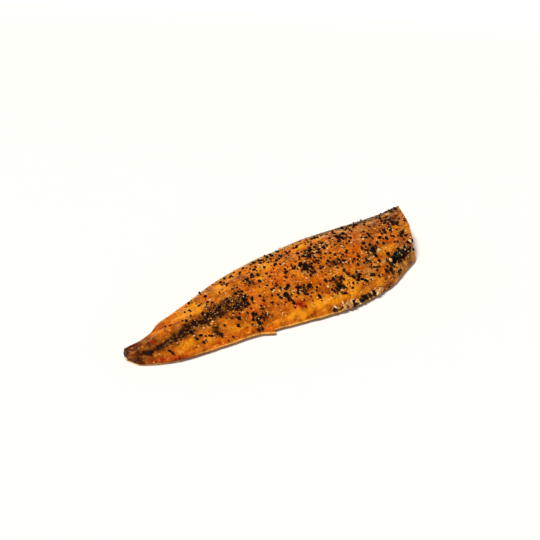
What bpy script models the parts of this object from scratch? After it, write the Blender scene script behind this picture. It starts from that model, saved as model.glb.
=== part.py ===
"""Peppered smoked mackerel fillet, lying skin side down, in metres with +Z up.

The tail points to -X and the head end to +X. The belly edge is at -Y and the back edge at +Y.
The fillet is a loft between two free edges, with cracked pepper fused to its upper face.
"""

import math
import random

import bmesh
import bpy
import numpy as np
from mathutils import Matrix, Vector

# Planform: the back edge is longer than the belly edge, because the head is cut off on a slant.
BACK_START = 0.0008
BACK_END = 0.2395
BELLY_START = 0.0042
BELLY_END = 0.1905
TAIL_END_BULGE = 0.0012
TAIL_END_REACH = 0.07
HEAD_CUT_HOLLOW = 0.0022
HEAD_CUT_HOLLOW_ACROSS = 0.80
HEAD_CUT_HOLLOW_WIDTH = 0.17
HEAD_CUT_REACH = 0.94

# Outlines as (distance from the tail, offset from the midline).
BELLY_EDGE = [
    (0.0042, -0.0060),
    (0.0100, -0.0103),
    (0.0170, -0.0138),
    (0.0270, -0.0162),
    (0.0410, -0.0181),
    (0.0540, -0.0197),
    (0.0800, -0.0250),
    (0.1000, -0.0297),
    (0.1180, -0.0320),
    (0.1370, -0.0310),
    (0.1530, -0.0287),
    (0.1720, -0.0226),
    (0.1905, -0.0166),
]
BACK_EDGE = [
    (0.0008, 0.0042),
    (0.0100, 0.0055),
    (0.0170, 0.0083),
    (0.0225, 0.0122),
    (0.0310, 0.0148),
    (0.0460, 0.0195),
    (0.0620, 0.0247),
    (0.0780, 0.0284),
    (0.0950, 0.0310),
    (0.1120, 0.0330),
    (0.1310, 0.0353),
    (0.1500, 0.0354),
    (0.1740, 0.0341),
    (0.2050, 0.0336),
    (0.2395, 0.0345),
]

# A small torn flap on the belly edge.
FLAP_START = 0.0590
FLAP_END = 0.0665
FLAP_OUT = 0.0025

# Heights above the board along the fillet, as (share of the length, height).
CROWN_HEIGHT = [
    (0.00, 0.0050),
    (0.06, 0.0068),
    (0.15, 0.0092),
    (0.30, 0.0125),
    (0.50, 0.0155),
    (0.70, 0.0170),
    (0.85, 0.0164),
    (1.00, 0.0140),
]
BACK_HEIGHT = [
    (0.00, 0.0054),
    (0.06, 0.0056),
    (0.15, 0.0066),
    (0.30, 0.0088),
    (0.50, 0.0108),
    (0.70, 0.0118),
    (0.85, 0.0118),
    (1.00, 0.0120),
]
CROWN_ACROSS = 0.60
BELLY_RIM_TOP = 0.0020
BELLY_RIM_FOOT = 0.0007
BACK_RIM_THICKNESS = 0.0014

# Shares of the width where the skin leaves the board on the belly side and on the back side.
BOARD_CONTACT = (0.10, 0.70)

# Furrow of the dark meat, which is deepest at the tail and fades out past the middle.
FURROW_DEPTH = 0.0011
FURROW_WIDTH = 0.100
FURROW_LINE = [(0.00, 0.42), (0.08, 0.41), (0.16, 0.43), (0.22, 0.45), (0.28, 0.42), (0.50, 0.42)]
FURROW_END = 0.45

# Belly wall: a rounded lip along the edge with a hollow behind it.
LIP_HEIGHT = 0.0010
LIP_SPAN = (0.36, 0.74)
LIP_LINE = [(0.36, 0.03), (0.50, 0.075), (0.60, 0.095), (0.74, 0.085)]
LIP_WIDTH = 0.045
HOLLOW_DEPTH = 0.0015
HOLLOW_SPAN = (0.43, 0.59)
HOLLOW_ACROSS = 0.185
HOLLOW_WIDTH = 0.050

# Slot at the head end between the thick meat and the thin belly flap.
SLOT_DEPTH = 0.0022
SLOT_SPAN = (0.76, 1.06)
SLOT_LINE = [(0.76, 0.145), (0.84, 0.160), (0.92, 0.150), (1.00, 0.120)]
SLOT_WIDTH = 0.032

# Strip of bare skin left along the back edge.
SKIN_STRIP_DROP = 0.0009
SKIN_STRIP_SPAN = (0.42, 0.98)
SKIN_STRIP_ACROSS = 0.925

# Low swells of the meat: (height, waves along, waves across, phase).
SWELLS = [
    (0.00034, 5.2, 1.3, 0.4),
    (0.00028, 8.6, -2.1, 1.9),
    (0.00022, 3.1, 3.4, 4.1),
    (0.00018, 12.7, 2.6, 2.7),
]

# Cracked pepper. Its grains are smaller towards the tail.
PEPPER_SEED = 17
PEPPER_GRAINS = 200
PEPPER_TRIES = 1900
PEPPER_SIZE = (0.0013, 0.0027)
TAIL_GRAIN_SHARE = 0.62
TAIL_GRAIN_END = 0.60
PEPPER_GAP = 0.0003
PEPPER_SUNK = 0.28
PEPPER_STRETCH = (0.95, 1.35)
PEPPER_FLATNESS = (0.60, 0.85)
PEPPER_ROUGHNESS = 0.20
PEPPER_EDGE_MARGIN = 0.035

# Patches where the pepper lies thickest: (share along, share across, radius, extra weight).
PEPPER_PATCHES = [
    (0.125, 0.440, 0.0028, 6.0),
    (0.185, 0.440, 0.0034, 7.0),
    (0.188, 0.600, 0.0033, 7.0),
    (0.235, 0.480, 0.0026, 5.0),
    (0.267, 0.460, 0.0034, 9.0),
    (0.245, 0.340, 0.0036, 7.0),
    (0.118, 0.260, 0.0020, 7.0),
    (0.163, 0.250, 0.0025, 6.0),
    (0.158, 0.160, 0.0028, 9.0),
    (0.122, 0.120, 0.0020, 7.0),
    (0.222, 0.230, 0.0020, 5.0),
    (0.262, 0.140, 0.0026, 7.0),
    (0.252, 0.040, 0.0028, 9.0),
    (0.292, 0.180, 0.0025, 7.0),
    (0.317, 0.600, 0.0031, 9.0),
    (0.350, 0.690, 0.0025, 5.0),
    (0.366, 0.260, 0.0030, 9.0),
    (0.420, 0.260, 0.0029, 8.0),
    (0.420, 0.880, 0.0040, 4.0),
    (0.470, 0.470, 0.0044, 9.0),
    (0.476, 0.390, 0.0022, 5.0),
    (0.500, 0.580, 0.0027, 8.0),
    (0.522, 0.620, 0.0027, 9.0),
    (0.540, 0.660, 0.0025, 8.0),
    (0.525, 0.210, 0.0032, 9.0),
    (0.502, 0.150, 0.0030, 5.0),
    (0.550, 0.550, 0.0028, 4.0),
    (0.575, 0.680, 0.0048, 3.5),
    (0.590, 0.410, 0.0044, 2.5),
    (0.600, 0.185, 0.0029, 8.0),
    (0.625, 0.610, 0.0029, 5.0),
    (0.655, 0.300, 0.0026, 6.0),
    (0.662, 0.650, 0.0038, 9.0),
    (0.698, 0.290, 0.0034, 9.0),
    (0.722, 0.350, 0.0030, 9.0),
    (0.705, 0.140, 0.0060, 1.5),
    (0.757, 0.610, 0.0029, 5.0),
    (0.748, 0.775, 0.0036, 3.0),
    (0.762, 0.070, 0.0028, 4.0),
    (0.825, 0.480, 0.0029, 8.0),
    (0.852, 0.540, 0.0034, 5.0),
    (0.892, 0.560, 0.0036, 5.0),
    (0.912, 0.370, 0.0030, 8.0),
    (0.885, 0.740, 0.0044, 2.0),
    (0.915, 0.930, 0.0034, 4.0),
    (0.960, 0.840, 0.0036, 2.0),
    (0.985, 0.520, 0.0030, 4.0),
]

# Weight of the pepper elsewhere, and where it is barer than that.
EVEN_WEIGHT = 1.0
BARE_TAIL_WEIGHT = 0.25
BARE_TAIL_END = 0.20
BARE_BAND_WEIGHT = 0.18
BARE_BAND_ACROSS = 0.10
BARE_SLOT_WEIGHT = 0.05
BARE_SLOT_WIDTH = 0.045
BARE_STRIP_WEIGHT = 0.15
BARE_STRIP_SPAN = (0.30, 0.90)
BARE_STRIP_LINE = [(0.30, 0.955), (0.45, 0.930), (0.60, 0.890), (0.68, 0.880), (0.76, 0.820), (0.90, 0.820)]
HEAD_WEIGHT = 0.40
HEAD_START = 0.78

# Larger pieces set by hand, most of them along the belly edge: (share along, share across, size).
PLACED_PIECES = [
    (0.024, 0.300, 0.0040),
    (0.462, 0.016, 0.0024),
    (0.476, 0.022, 0.0018),
    (0.496, 0.014, 0.0026),
    (0.514, 0.020, 0.0032),
    (0.533, 0.012, 0.0021),
    (0.549, 0.022, 0.0026),
    (0.566, 0.012, 0.0022),
    (0.583, 0.022, 0.0028),
    (0.606, 0.014, 0.0020),
    (0.630, 0.022, 0.0022),
    (0.648, 0.012, 0.0028),
    (0.668, 0.014, 0.0030),
]
EDGE_SQUASH = 0.62

# Mesh fineness.
STEPS_ALONG = 50
STEPS_ACROSS = 18
UNDERSIDE_MERGE_ANGLE = math.radians(2.5)
LEVEL = 1e-7

FLESH_COLOUR = (0.52, 0.145, 0.010, 1.0)
FLESH_ROUGHNESS = 0.38


def clear_scene():
    for obj in list(bpy.data.objects):
        bpy.data.objects.remove(obj, do_unlink=True)


def along_curve(points, x):
    """The value at x of the smooth curve through points, flat past both its ends."""
    knots = np.array(points, float)
    xs, ys = knots[:, 0], knots[:, 1]
    chords = np.diff(ys) / np.diff(xs)
    slopes = np.concatenate([chords[:1], (chords[1:] + chords[:-1]) / 2, chords[-1:]])
    x = np.clip(x, xs[0], xs[-1])
    i = np.clip(np.searchsorted(xs, x) - 1, 0, len(xs) - 2)
    step = xs[i + 1] - xs[i]
    t = (x - xs[i]) / step
    rise = t * t * (3 - 2 * t)
    return (
        ys[i] * (1 - rise)
        + ys[i + 1] * rise
        + step * slopes[i] * t * (1 - t) ** 2
        - step * slopes[i + 1] * t * t * (1 - t)
    )


def fade(x, start, end):
    """0 before start, 1 past end, and smooth between."""
    t = np.clip((x - start) / (end - start), 0.0, 1.0)
    return t * t * (3 - 2 * t)


def window(u, span, blur):
    """1 inside the span and 0 outside it, blurred at both ends."""
    return fade(u, span[0], span[0] + blur) * (1 - fade(u, span[1] - blur, span[1]))


def bell(v, middle, width):
    return np.exp(-(((v - middle) / width) ** 2))


def plan(u, v):
    """Place on the board of the point at share u of the length and share v of the width."""
    back_x = BACK_START + (BACK_END - BACK_START) * u
    belly_x = BELLY_START + (BACK_END - BELLY_START) * u - (BACK_END - BELLY_END) * u * u
    back_y = along_curve(BACK_EDGE, back_x)
    flap = fade(belly_x, FLAP_START, FLAP_END) * (belly_x < FLAP_END)
    belly_y = along_curve(BELLY_EDGE, belly_x) - FLAP_OUT * flap
    bulge = TAIL_END_BULGE * np.sin(math.pi * v) * (1 - fade(u, 0.0, TAIL_END_REACH))
    hollow = HEAD_CUT_HOLLOW * bell(v, HEAD_CUT_HOLLOW_ACROSS, HEAD_CUT_HOLLOW_WIDTH)
    hollow = hollow * fade(u, HEAD_CUT_REACH, 1.0)
    return belly_x + (back_x - belly_x) * v - bulge - hollow, belly_y + (back_y - belly_y) * v


def upper_height(u, v):
    """Height of the meat above the board."""
    crown = along_curve(CROWN_HEIGHT, u)
    back = along_curve(BACK_HEIGHT, u)
    near = np.clip(v / CROWN_ACROSS, 0.0, 1.0)
    far = np.clip((v - CROWN_ACROSS) / (1 - CROWN_ACROSS), 0.0, 1.0)
    belly_side = BELLY_RIM_TOP + (crown - BELLY_RIM_TOP) * np.sin(near * math.pi / 2) ** 0.9
    back_side = back + (crown - back) * np.cos(far * math.pi / 2)
    height = np.where(v < CROWN_ACROSS, belly_side, back_side)
    inland = fade(v, 0.0, 0.12) * (1 - fade(v, 0.90, 1.0))
    for tall, along, across, phase in SWELLS:
        height = height + inland * tall * np.sin(2 * math.pi * (along * u + across * v) + phase)
    return height + relief(u, v)


def relief(u, v):
    """Furrow, belly lip and hollow, head slot and skin strip, as a change of height."""
    furrow = bell(v, along_curve(FURROW_LINE, u), FURROW_WIDTH) * (1 - fade(u, 0.10, FURROW_END))
    lip = bell(v, along_curve(LIP_LINE, u), LIP_WIDTH) * window(u, LIP_SPAN, 0.10)
    hollow = bell(v, HOLLOW_ACROSS, HOLLOW_WIDTH) * window(u, HOLLOW_SPAN, 0.06)
    slot = bell(v, along_curve(SLOT_LINE, u), SLOT_WIDTH) * window(u, SLOT_SPAN, 0.06)
    strip = fade(v, SKIN_STRIP_ACROSS - 0.03, SKIN_STRIP_ACROSS) * window(u, SKIN_STRIP_SPAN, 0.08)
    return (
        LIP_HEIGHT * lip
        - FURROW_DEPTH * furrow
        - HOLLOW_DEPTH * hollow
        - SLOT_DEPTH * slot
        - SKIN_STRIP_DROP * strip
    )


def lower_height(u, v):
    """Height of the skin above the board: flat in the middle, turned up at both edges."""
    belly_turn = np.clip(1 - v / BOARD_CONTACT[0], 0.0, 1.0)
    back_turn = np.clip((v - BOARD_CONTACT[1]) / (1 - BOARD_CONTACT[1]), 0.0, 1.0)
    back_foot = along_curve(BACK_HEIGHT, u) - SKIN_STRIP_DROP - BACK_RIM_THICKNESS
    flank = 1 - np.sqrt(1 - np.minimum(back_turn, 0.999) ** 2.2)
    return BELLY_RIM_FOOT * belly_turn**2 + back_foot * flank


def surface_sheet(bm, height):
    """Adds a grid with the fillet's planform, lifted to the given height, and returns its faces."""
    made = bmesh.ops.create_grid(bm, x_segments=STEPS_ALONG, y_segments=STEPS_ACROSS, size=0.5)
    for vert in made["verts"]:
        u, v = vert.co.x + 0.5, vert.co.y + 0.5
        x, y = plan(u, v)
        vert.co = Vector((float(x), float(y), float(height(u, v))))
    return {face for vert in made["verts"] for face in vert.link_faces}


def merge_underside(bm, faces):
    """Merges the level faces that rest on the board, and apart from them those of the flanks."""
    level = {face for face in faces if all(vert.co.z < LEVEL for vert in face.verts)}
    for patch in (level, faces - level):
        inner = [edge for edge in bm.edges if patch.issuperset(edge.link_faces)]
        bmesh.ops.dissolve_limit(bm, angle_limit=UNDERSIDE_MERGE_ANGLE, verts=[], edges=inner)


def fillet_object():
    """The meat with its skin: an upper and a lower sheet, joined round the rim."""
    bm = bmesh.new()
    surface_sheet(bm, upper_height)
    lower = surface_sheet(bm, lower_height)
    bmesh.ops.bridge_loops(bm, edges=[edge for edge in bm.edges if edge.is_boundary])
    merge_underside(bm, lower)
    bmesh.ops.triangulate(bm, faces=bm.faces[:])
    bmesh.ops.recalc_face_normals(bm, faces=bm.faces[:])
    mesh = bpy.data.meshes.new("fillet")
    bm.to_mesh(mesh)
    bm.free()
    return bpy.data.objects.new("fillet", mesh)


def surface_frame(u, v):
    """The point on the meat at (u, v), with its outward normal."""
    step = 0.004

    def point(a, b):
        x, y = plan(a, b)
        return Vector((float(x), float(y), float(upper_height(a, b))))

    along = point(u + step, v) - point(u - step, v)
    across = point(u, v + step) - point(u, v - step)
    return point(u, v), along.cross(across).normalized()


def pepper_weight(u, v):
    """How thickly pepper lies at (u, v), from 0 up."""
    tail = fade(u, 0.03, BARE_TAIL_END)
    weight = BARE_TAIL_WEIGHT + (EVEN_WEIGHT - BARE_TAIL_WEIGHT) * tail
    weight *= 1 - (1 - HEAD_WEIGHT) * fade(u, HEAD_START, 0.95)
    if v < BARE_BAND_ACROSS and u < 0.72:
        weight *= BARE_BAND_WEIGHT
    if u > SLOT_SPAN[0] and abs(v - along_curve(SLOT_LINE, u)) < BARE_SLOT_WIDTH:
        weight *= BARE_SLOT_WEIGHT
    if BARE_STRIP_SPAN[0] < u < BARE_STRIP_SPAN[1] and v > along_curve(BARE_STRIP_LINE, u):
        weight *= BARE_STRIP_WEIGHT
    x, y = plan(u, v)
    for patch_u, patch_v, radius, extra in PEPPER_PATCHES:
        patch_x, patch_y = plan(patch_u, patch_v)
        away = math.hypot(x - patch_x, y - patch_y)
        weight += extra * math.exp(-((away / radius) ** 2))
    return float(weight)


def pepper_places(draw):
    """Places (u, v, size) of the grains, the largest first and none touching another."""
    heaviest = EVEN_WEIGHT + max(extra for _, _, _, extra in PEPPER_PATCHES)
    places = list(PLACED_PIECES)
    taken = [(*plan(u, v), size) for u, v, size in places]
    small, large = PEPPER_SIZE
    for attempt in range(PEPPER_TRIES):
        if len(places) >= PEPPER_GRAINS:
            break
        u = draw.uniform(0.02, 0.985)
        v = draw.uniform(PEPPER_EDGE_MARGIN, 1 - PEPPER_EDGE_MARGIN)
        keep = draw.random() * heaviest
        size = large - (large - small) * attempt / PEPPER_TRIES
        size *= TAIL_GRAIN_SHARE + (1 - TAIL_GRAIN_SHARE) * float(fade(u, 0.0, TAIL_GRAIN_END))
        if keep > pepper_weight(u, v):
            continue
        x, y = plan(u, v)
        if all(math.hypot(x - a, y - b) > (size + s) / 2 + PEPPER_GAP for a, b, s in taken):
            places.append((u, v, size))
            taken.append((x, y, size))
    return places


def pepper_grain(name, place, squash, draw):
    """One cracked piece of pepper: a flattened, jagged lump, sunk a little into the meat."""
    u, v, size = place
    point, normal = surface_frame(u, v)
    stretch = draw.uniform(*PEPPER_STRETCH) / math.sqrt(squash)
    flatness = draw.uniform(*PEPPER_FLATNESS) * squash
    bm = bmesh.new()
    made = bmesh.ops.create_icosphere(bm, subdivisions=1, radius=size / 2)
    for vert in made["verts"]:
        vert.co *= 1 + draw.uniform(-PEPPER_ROUGHNESS, PEPPER_ROUGHNESS)
        vert.co.x *= stretch
        vert.co.z *= flatness
    mesh = bpy.data.meshes.new(name)
    bm.to_mesh(mesh)
    bm.free()
    grain = bpy.data.objects.new(name, mesh)
    lift = size * flatness * (0.5 - PEPPER_SUNK)
    turn = normal.to_track_quat("Z", "Y").to_matrix().to_4x4()
    spin = Matrix.Rotation(draw.uniform(0, math.tau), 4, "Z")
    grain.matrix_world = Matrix.Translation(point + normal * lift) @ turn @ spin
    return grain


def pepper_collection():
    draw = random.Random(PEPPER_SEED)
    collection = bpy.data.collections.new("cracked pepper")
    bpy.context.scene.collection.children.link(collection)
    for number, place in enumerate(pepper_places(draw)):
        on_edge = number < len(PLACED_PIECES) and place[1] < BARE_BAND_ACROSS
        squash = EDGE_SQUASH if on_edge else 1.0
        collection.objects.link(pepper_grain(f"grain {number}", place, squash, draw))
    return collection


def fuse(obj, collection):
    """Joins every object of the collection to obj in one Boolean union, and removes them."""
    union = obj.modifiers.new("union", "BOOLEAN")
    union.operation = "UNION"
    union.operand_type = "COLLECTION"
    union.collection = collection
    union.solver = "EXACT"
    bpy.context.view_layer.update()
    graph = bpy.context.evaluated_depsgraph_get()
    joined = bpy.data.meshes.new_from_object(obj.evaluated_get(graph))
    obj.modifiers.clear()
    obj.data = joined
    for grain in list(collection.objects):
        bpy.data.objects.remove(grain, do_unlink=True)
    bpy.data.collections.remove(collection)


def centre_on_origin(obj):
    """Moves the mesh so that the origin is at the middle of its footprint, on the board."""
    points = np.array([vert.co for vert in obj.data.vertices])
    low, high = points.min(axis=0), points.max(axis=0)
    middle = (low + high) / 2
    obj.data.transform(Matrix.Translation((-middle[0], -middle[1], -low[2])))


def smoked_flesh():
    material = bpy.data.materials.new("smoked flesh")
    material.use_nodes = True
    surface = material.node_tree.nodes["Principled BSDF"]
    surface.inputs["Base Color"].default_value = FLESH_COLOUR
    surface.inputs["Roughness"].default_value = FLESH_ROUGHNESS
    surface.inputs["Metallic"].default_value = 0.0
    return material


def main():
    clear_scene()
    parts = bpy.data.collections.new("smoked mackerel fillet")
    bpy.context.scene.collection.children.link(parts)
    fillet = fillet_object()
    parts.objects.link(fillet)
    fuse(fillet, pepper_collection())
    centre_on_origin(fillet)
    fillet.data.materials.clear()
    fillet.data.materials.append(smoked_flesh())
    fillet.data.shade_smooth()
    fillet.data.set_sharp_from_angle(angle=math.radians(35))


main()
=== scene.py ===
import math
import random

import bmesh
import bpy
import numpy as np
from mathutils import Matrix, Vector


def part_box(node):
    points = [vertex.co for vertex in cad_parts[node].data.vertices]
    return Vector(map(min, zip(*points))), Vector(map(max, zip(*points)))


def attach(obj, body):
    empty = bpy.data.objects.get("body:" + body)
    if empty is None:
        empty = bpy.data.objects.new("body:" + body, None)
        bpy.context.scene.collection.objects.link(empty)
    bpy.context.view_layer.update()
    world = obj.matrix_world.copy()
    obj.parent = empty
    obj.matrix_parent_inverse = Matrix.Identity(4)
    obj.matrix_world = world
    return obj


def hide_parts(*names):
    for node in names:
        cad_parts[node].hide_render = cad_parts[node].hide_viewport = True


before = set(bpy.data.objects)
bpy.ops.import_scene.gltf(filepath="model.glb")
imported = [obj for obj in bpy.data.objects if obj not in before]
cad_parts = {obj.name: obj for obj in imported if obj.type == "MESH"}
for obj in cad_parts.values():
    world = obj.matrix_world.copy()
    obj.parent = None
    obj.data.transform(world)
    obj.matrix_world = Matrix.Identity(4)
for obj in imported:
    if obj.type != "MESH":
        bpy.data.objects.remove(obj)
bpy.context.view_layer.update()        # one body, "root", and one CAD node, "fillet"

# Everything is in metres. u runs from the tail (0) to the head end (1), v from the belly edge (0)
# to the back edge (1). These sizes are the ones that the CAD solid was made from.
form = dict(
    backStart=0.0008, backEnd=0.2395, bellyStart=0.0042, bellyEnd=0.1905,
    tailBulge=0.0012, tailReach=0.07,
    headHollow=0.0022, headHollowAcross=0.80, headHollowWidth=0.17, headReach=0.94,
    bellyEdge=[(0.0042, -0.0060), (0.0100, -0.0103), (0.0170, -0.0138), (0.0270, -0.0162),
               (0.0410, -0.0181), (0.0540, -0.0197), (0.0800, -0.0250), (0.1000, -0.0297),
               (0.1180, -0.0320), (0.1370, -0.0310), (0.1530, -0.0287), (0.1720, -0.0226),
               (0.1905, -0.0166)],
    backEdge=[(0.0008, 0.0042), (0.0100, 0.0055), (0.0170, 0.0083), (0.0225, 0.0122),
              (0.0310, 0.0148), (0.0460, 0.0195), (0.0620, 0.0247), (0.0780, 0.0284),
              (0.0950, 0.0310), (0.1120, 0.0330), (0.1310, 0.0353), (0.1500, 0.0354),
              (0.1740, 0.0341), (0.2050, 0.0336), (0.2395, 0.0345)],
    flapStart=0.0590, flapEnd=0.0665, flapOut=0.0025,
    crownHeight=[(0.00, 0.0050), (0.06, 0.0068), (0.15, 0.0092), (0.30, 0.0125), (0.50, 0.0155),
                 (0.70, 0.0170), (0.85, 0.0164), (1.00, 0.0140)],
    backHeight=[(0.00, 0.0054), (0.06, 0.0056), (0.15, 0.0066), (0.30, 0.0088), (0.50, 0.0108),
                (0.70, 0.0118), (0.85, 0.0118), (1.00, 0.0120)],
    crownAcross=0.60, crownEase=0.9, rimTop=0.0020, rimFoot=0.0007, backRim=0.0014,
    contact=(0.10, 0.70), flankRound=2.2,
    furrowDepth=0.0011, furrowWidth=0.100, furrowSpan=(0.10, 0.45),
    furrowLine=[(0.00, 0.42), (0.08, 0.41), (0.16, 0.43), (0.22, 0.45), (0.28, 0.42),
                (0.50, 0.42)],
    lipHeight=0.0010, lipSpan=(0.36, 0.74), lipBlur=0.10, lipWidth=0.045,
    lipLine=[(0.36, 0.03), (0.50, 0.075), (0.60, 0.095), (0.74, 0.085)],
    hollowDepth=0.0015, hollowSpan=(0.43, 0.59), hollowBlur=0.06, hollowAcross=0.185,
    hollowWidth=0.050,
    slotDepth=0.0022, slotSpan=(0.76, 1.06), slotBlur=0.06, slotWidth=0.032,
    slotLine=[(0.76, 0.145), (0.84, 0.160), (0.92, 0.150), (1.00, 0.120)],
    stripDrop=0.0009, stripSpan=(0.42, 0.98), stripBlur=0.08, stripAcross=(0.895, 0.925),
    # low waves of the top, which end within these shares of the width from the edges
    swells=[(0.00034, 5.2, 1.3, 0.4), (0.00028, 8.6, -2.1, 1.9), (0.00022, 3.1, 3.4, 4.1),
            (0.00018, 12.7, 2.6, 2.7)],
    swellBelly=0.12, swellBack=0.10,
    # only for the edges and the pepper, a rough width: at the tail, and how much wider past widest
    tailWidth=0.011, widening=0.056, widest=0.5,
)


def alongCurve(points, x):
    # smooth curve through the points, flat past both ends
    knots = np.array(points, float)
    xs, ys = knots[:, 0], knots[:, 1]
    chords = np.diff(ys) / np.diff(xs)
    slopes = np.concatenate([chords[:1], (chords[1:] + chords[:-1]) / 2, chords[-1:]])
    x = np.clip(x, xs[0], xs[-1])
    i = np.clip(np.searchsorted(xs, x) - 1, 0, len(xs) - 2)
    step = xs[i + 1] - xs[i]
    t = (x - xs[i]) / step
    rise = t * t * (3 - 2 * t)
    return (ys[i] * (1 - rise) + ys[i + 1] * rise
            + step * slopes[i] * t * (1 - t) ** 2 - step * slopes[i + 1] * t * t * (1 - t))


def fade(x, start, end):
    t = np.clip((x - start) / (end - start), 0.0, 1.0)
    return t * t * (3 - 2 * t)


def window(u, span, blur):
    return fade(u, span[0], span[0] + blur) * (1 - fade(u, span[1] - blur, span[1]))


def bell(v, middle, width):
    return np.exp(-(((v - middle) / width) ** 2))


def roughWidth(u):
    return form["tailWidth"] + form["widening"] * fade(u, 0.0, form["widest"])


def plan(u, v):
    # place seen from above, before the fillet is centred on the origin
    backX = form["backStart"] + (form["backEnd"] - form["backStart"]) * u
    bellyX = (form["bellyStart"] + (form["backEnd"] - form["bellyStart"]) * u
              - (form["backEnd"] - form["bellyEnd"]) * u * u)
    backY = alongCurve(form["backEdge"], backX)
    flap = fade(bellyX, form["flapStart"], form["flapEnd"]) * (bellyX < form["flapEnd"])
    bellyY = alongCurve(form["bellyEdge"], bellyX) - form["flapOut"] * flap
    bulge = form["tailBulge"] * np.sin(math.pi * v) * (1 - fade(u, 0.0, form["tailReach"]))
    hollow = form["headHollow"] * bell(v, form["headHollowAcross"], form["headHollowWidth"])
    hollow = hollow * fade(u, form["headReach"], 1.0)
    return bellyX + (backX - bellyX) * v - bulge - hollow, bellyY + (backY - bellyY) * v


def relief(u, v):
    furrow = bell(v, alongCurve(form["furrowLine"], u), form["furrowWidth"])
    furrow = furrow * (1 - fade(u, *form["furrowSpan"]))
    lip = bell(v, alongCurve(form["lipLine"], u), form["lipWidth"])
    lip = lip * window(u, form["lipSpan"], form["lipBlur"])
    hollow = bell(v, form["hollowAcross"], form["hollowWidth"])
    hollow = hollow * window(u, form["hollowSpan"], form["hollowBlur"])
    slot = bell(v, alongCurve(form["slotLine"], u), form["slotWidth"])
    slot = slot * window(u, form["slotSpan"], form["slotBlur"])
    strip = fade(v, *form["stripAcross"]) * window(u, form["stripSpan"], form["stripBlur"])
    return (form["lipHeight"] * lip - form["furrowDepth"] * furrow - form["hollowDepth"] * hollow
            - form["slotDepth"] * slot - form["stripDrop"] * strip)


def upperHeight(u, v):
    crown = alongCurve(form["crownHeight"], u)
    back = alongCurve(form["backHeight"], u)
    near = np.clip(v / form["crownAcross"], 0.0, 1.0)
    far = np.clip((v - form["crownAcross"]) / (1 - form["crownAcross"]), 0.0, 1.0)
    rise = np.sin(near * math.pi / 2) ** form["crownEase"]
    bellySide = form["rimTop"] + (crown - form["rimTop"]) * rise
    backSide = back + (crown - back) * np.cos(far * math.pi / 2)
    height = np.where(v < form["crownAcross"], bellySide, backSide)
    inland = fade(v, 0.0, form["swellBelly"]) * (1 - fade(v, 1 - form["swellBack"], 1.0))
    for tall, along, across, phase in form["swells"]:
        height = height + inland * tall * np.sin(2 * math.pi * (along * u + across * v) + phase)
    return height + relief(u, v)


def lowerHeight(u, v):
    bellyTurn = np.clip(1 - v / form["contact"][0], 0.0, 1.0)
    backTurn = np.clip((v - form["contact"][1]) / (1 - form["contact"][1]), 0.0, 1.0)
    backFoot = alongCurve(form["backHeight"], u) - form["stripDrop"] - form["backRim"]
    # kept under 1, where the curve would be upright
    flank = 1 - np.sqrt(1 - np.minimum(backTurn, 0.999) ** form["flankRound"])
    return form["rimFoot"] * bellyTurn ** 2 + backFoot * flank


def softNoise(x, y, size, seed):
    # one random value at each corner of a square lattice, eased between corners, -1 to 1
    cells = 256
    corner = np.random.default_rng(seed).uniform(-1, 1, (cells, cells))
    # moved off the origin, which would otherwise be a corner
    gx, gy = np.asarray(x) / size + 100.3, np.asarray(y) / size + 100.7
    ix, iy = np.floor(gx).astype(int), np.floor(gy).astype(int)
    fx, fy = fade(gx - ix, 0, 1), fade(gy - iy, 0, 1)
    low = corner[ix % cells, iy % cells] * (1 - fx) + corner[(ix + 1) % cells, iy % cells] * fx
    top = (corner[ix % cells, (iy + 1) % cells] * (1 - fx)
           + corner[(ix + 1) % cells, (iy + 1) % cells] * fx)
    return low * (1 - fy) + top * fy


def layeredNoise(x, y, size, seed, layers=3):
    # each layer is turned, half the size and half as strong
    total = 0
    for layer in range(layers):
        turn = 0.6 * layer
        a = x * math.cos(turn) - y * math.sin(turn)
        b = x * math.sin(turn) + y * math.cos(turn)
        total = total + softNoise(a, b, size / 2 ** layer, seed + layer) / 2 ** layer
    return total / 1.75


# The CAD solid is centred on its own box. The head tip and the back edge are bare of pepper, so
# they say how far it was moved.
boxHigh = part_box("fillet")[1]
backPeak = float(np.max(alongCurve(form["backEdge"], np.linspace(0, form["backEnd"], 4000))))
shift = np.array([boxHigh.x - form["backEnd"], boxHigh.y - backPeak, 0.0])
print("fillet moved by", (shift * 1000).round(2), "mm")


# Scene: camera, light and floor

view = dict(
    place=(-0.08578, -0.18744, 0.14729),      # before the fillet is centred
    azimuth=42.0, elevation=26.7, roll=2.0,   # degrees
    focalPixels=548.5, imagePixels=540, sensorWidth=36.0,
)

light = dict(
    keyFrom=(-0.40, 0.22, 0.90), keyAngle=24.0, keyStrength=2.80, keyColour="fffaf2",
    fillFrom=(-0.55, -0.75, 0.50), fillAngle=60.0, fillStrength=0.35, fillColour="fffdf8",
    worldStrength=0.16, worldColour="fff2e2",
)

# flat near the fillet, then rising far away so that the horizon never shows
floorLook = dict(
    rings=[(0.0, 0.0), (3.0, 0.0), (6.0, 0.0), (7.0, 0.15), (8.0, 0.6), (9.0, 1.5), (9.6, 2.4)],
    sides=64, colour="f0f0f3", roughness=0.9)


def linearColour(hexCode):
    parts = [int(hexCode[i:i + 2], 16) / 255 for i in (0, 2, 4)]
    linear = [c / 12.92 if c <= 0.04045 else ((c + 0.055) / 1.055) ** 2.4 for c in parts]
    return (*linear, 1.0)


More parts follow.
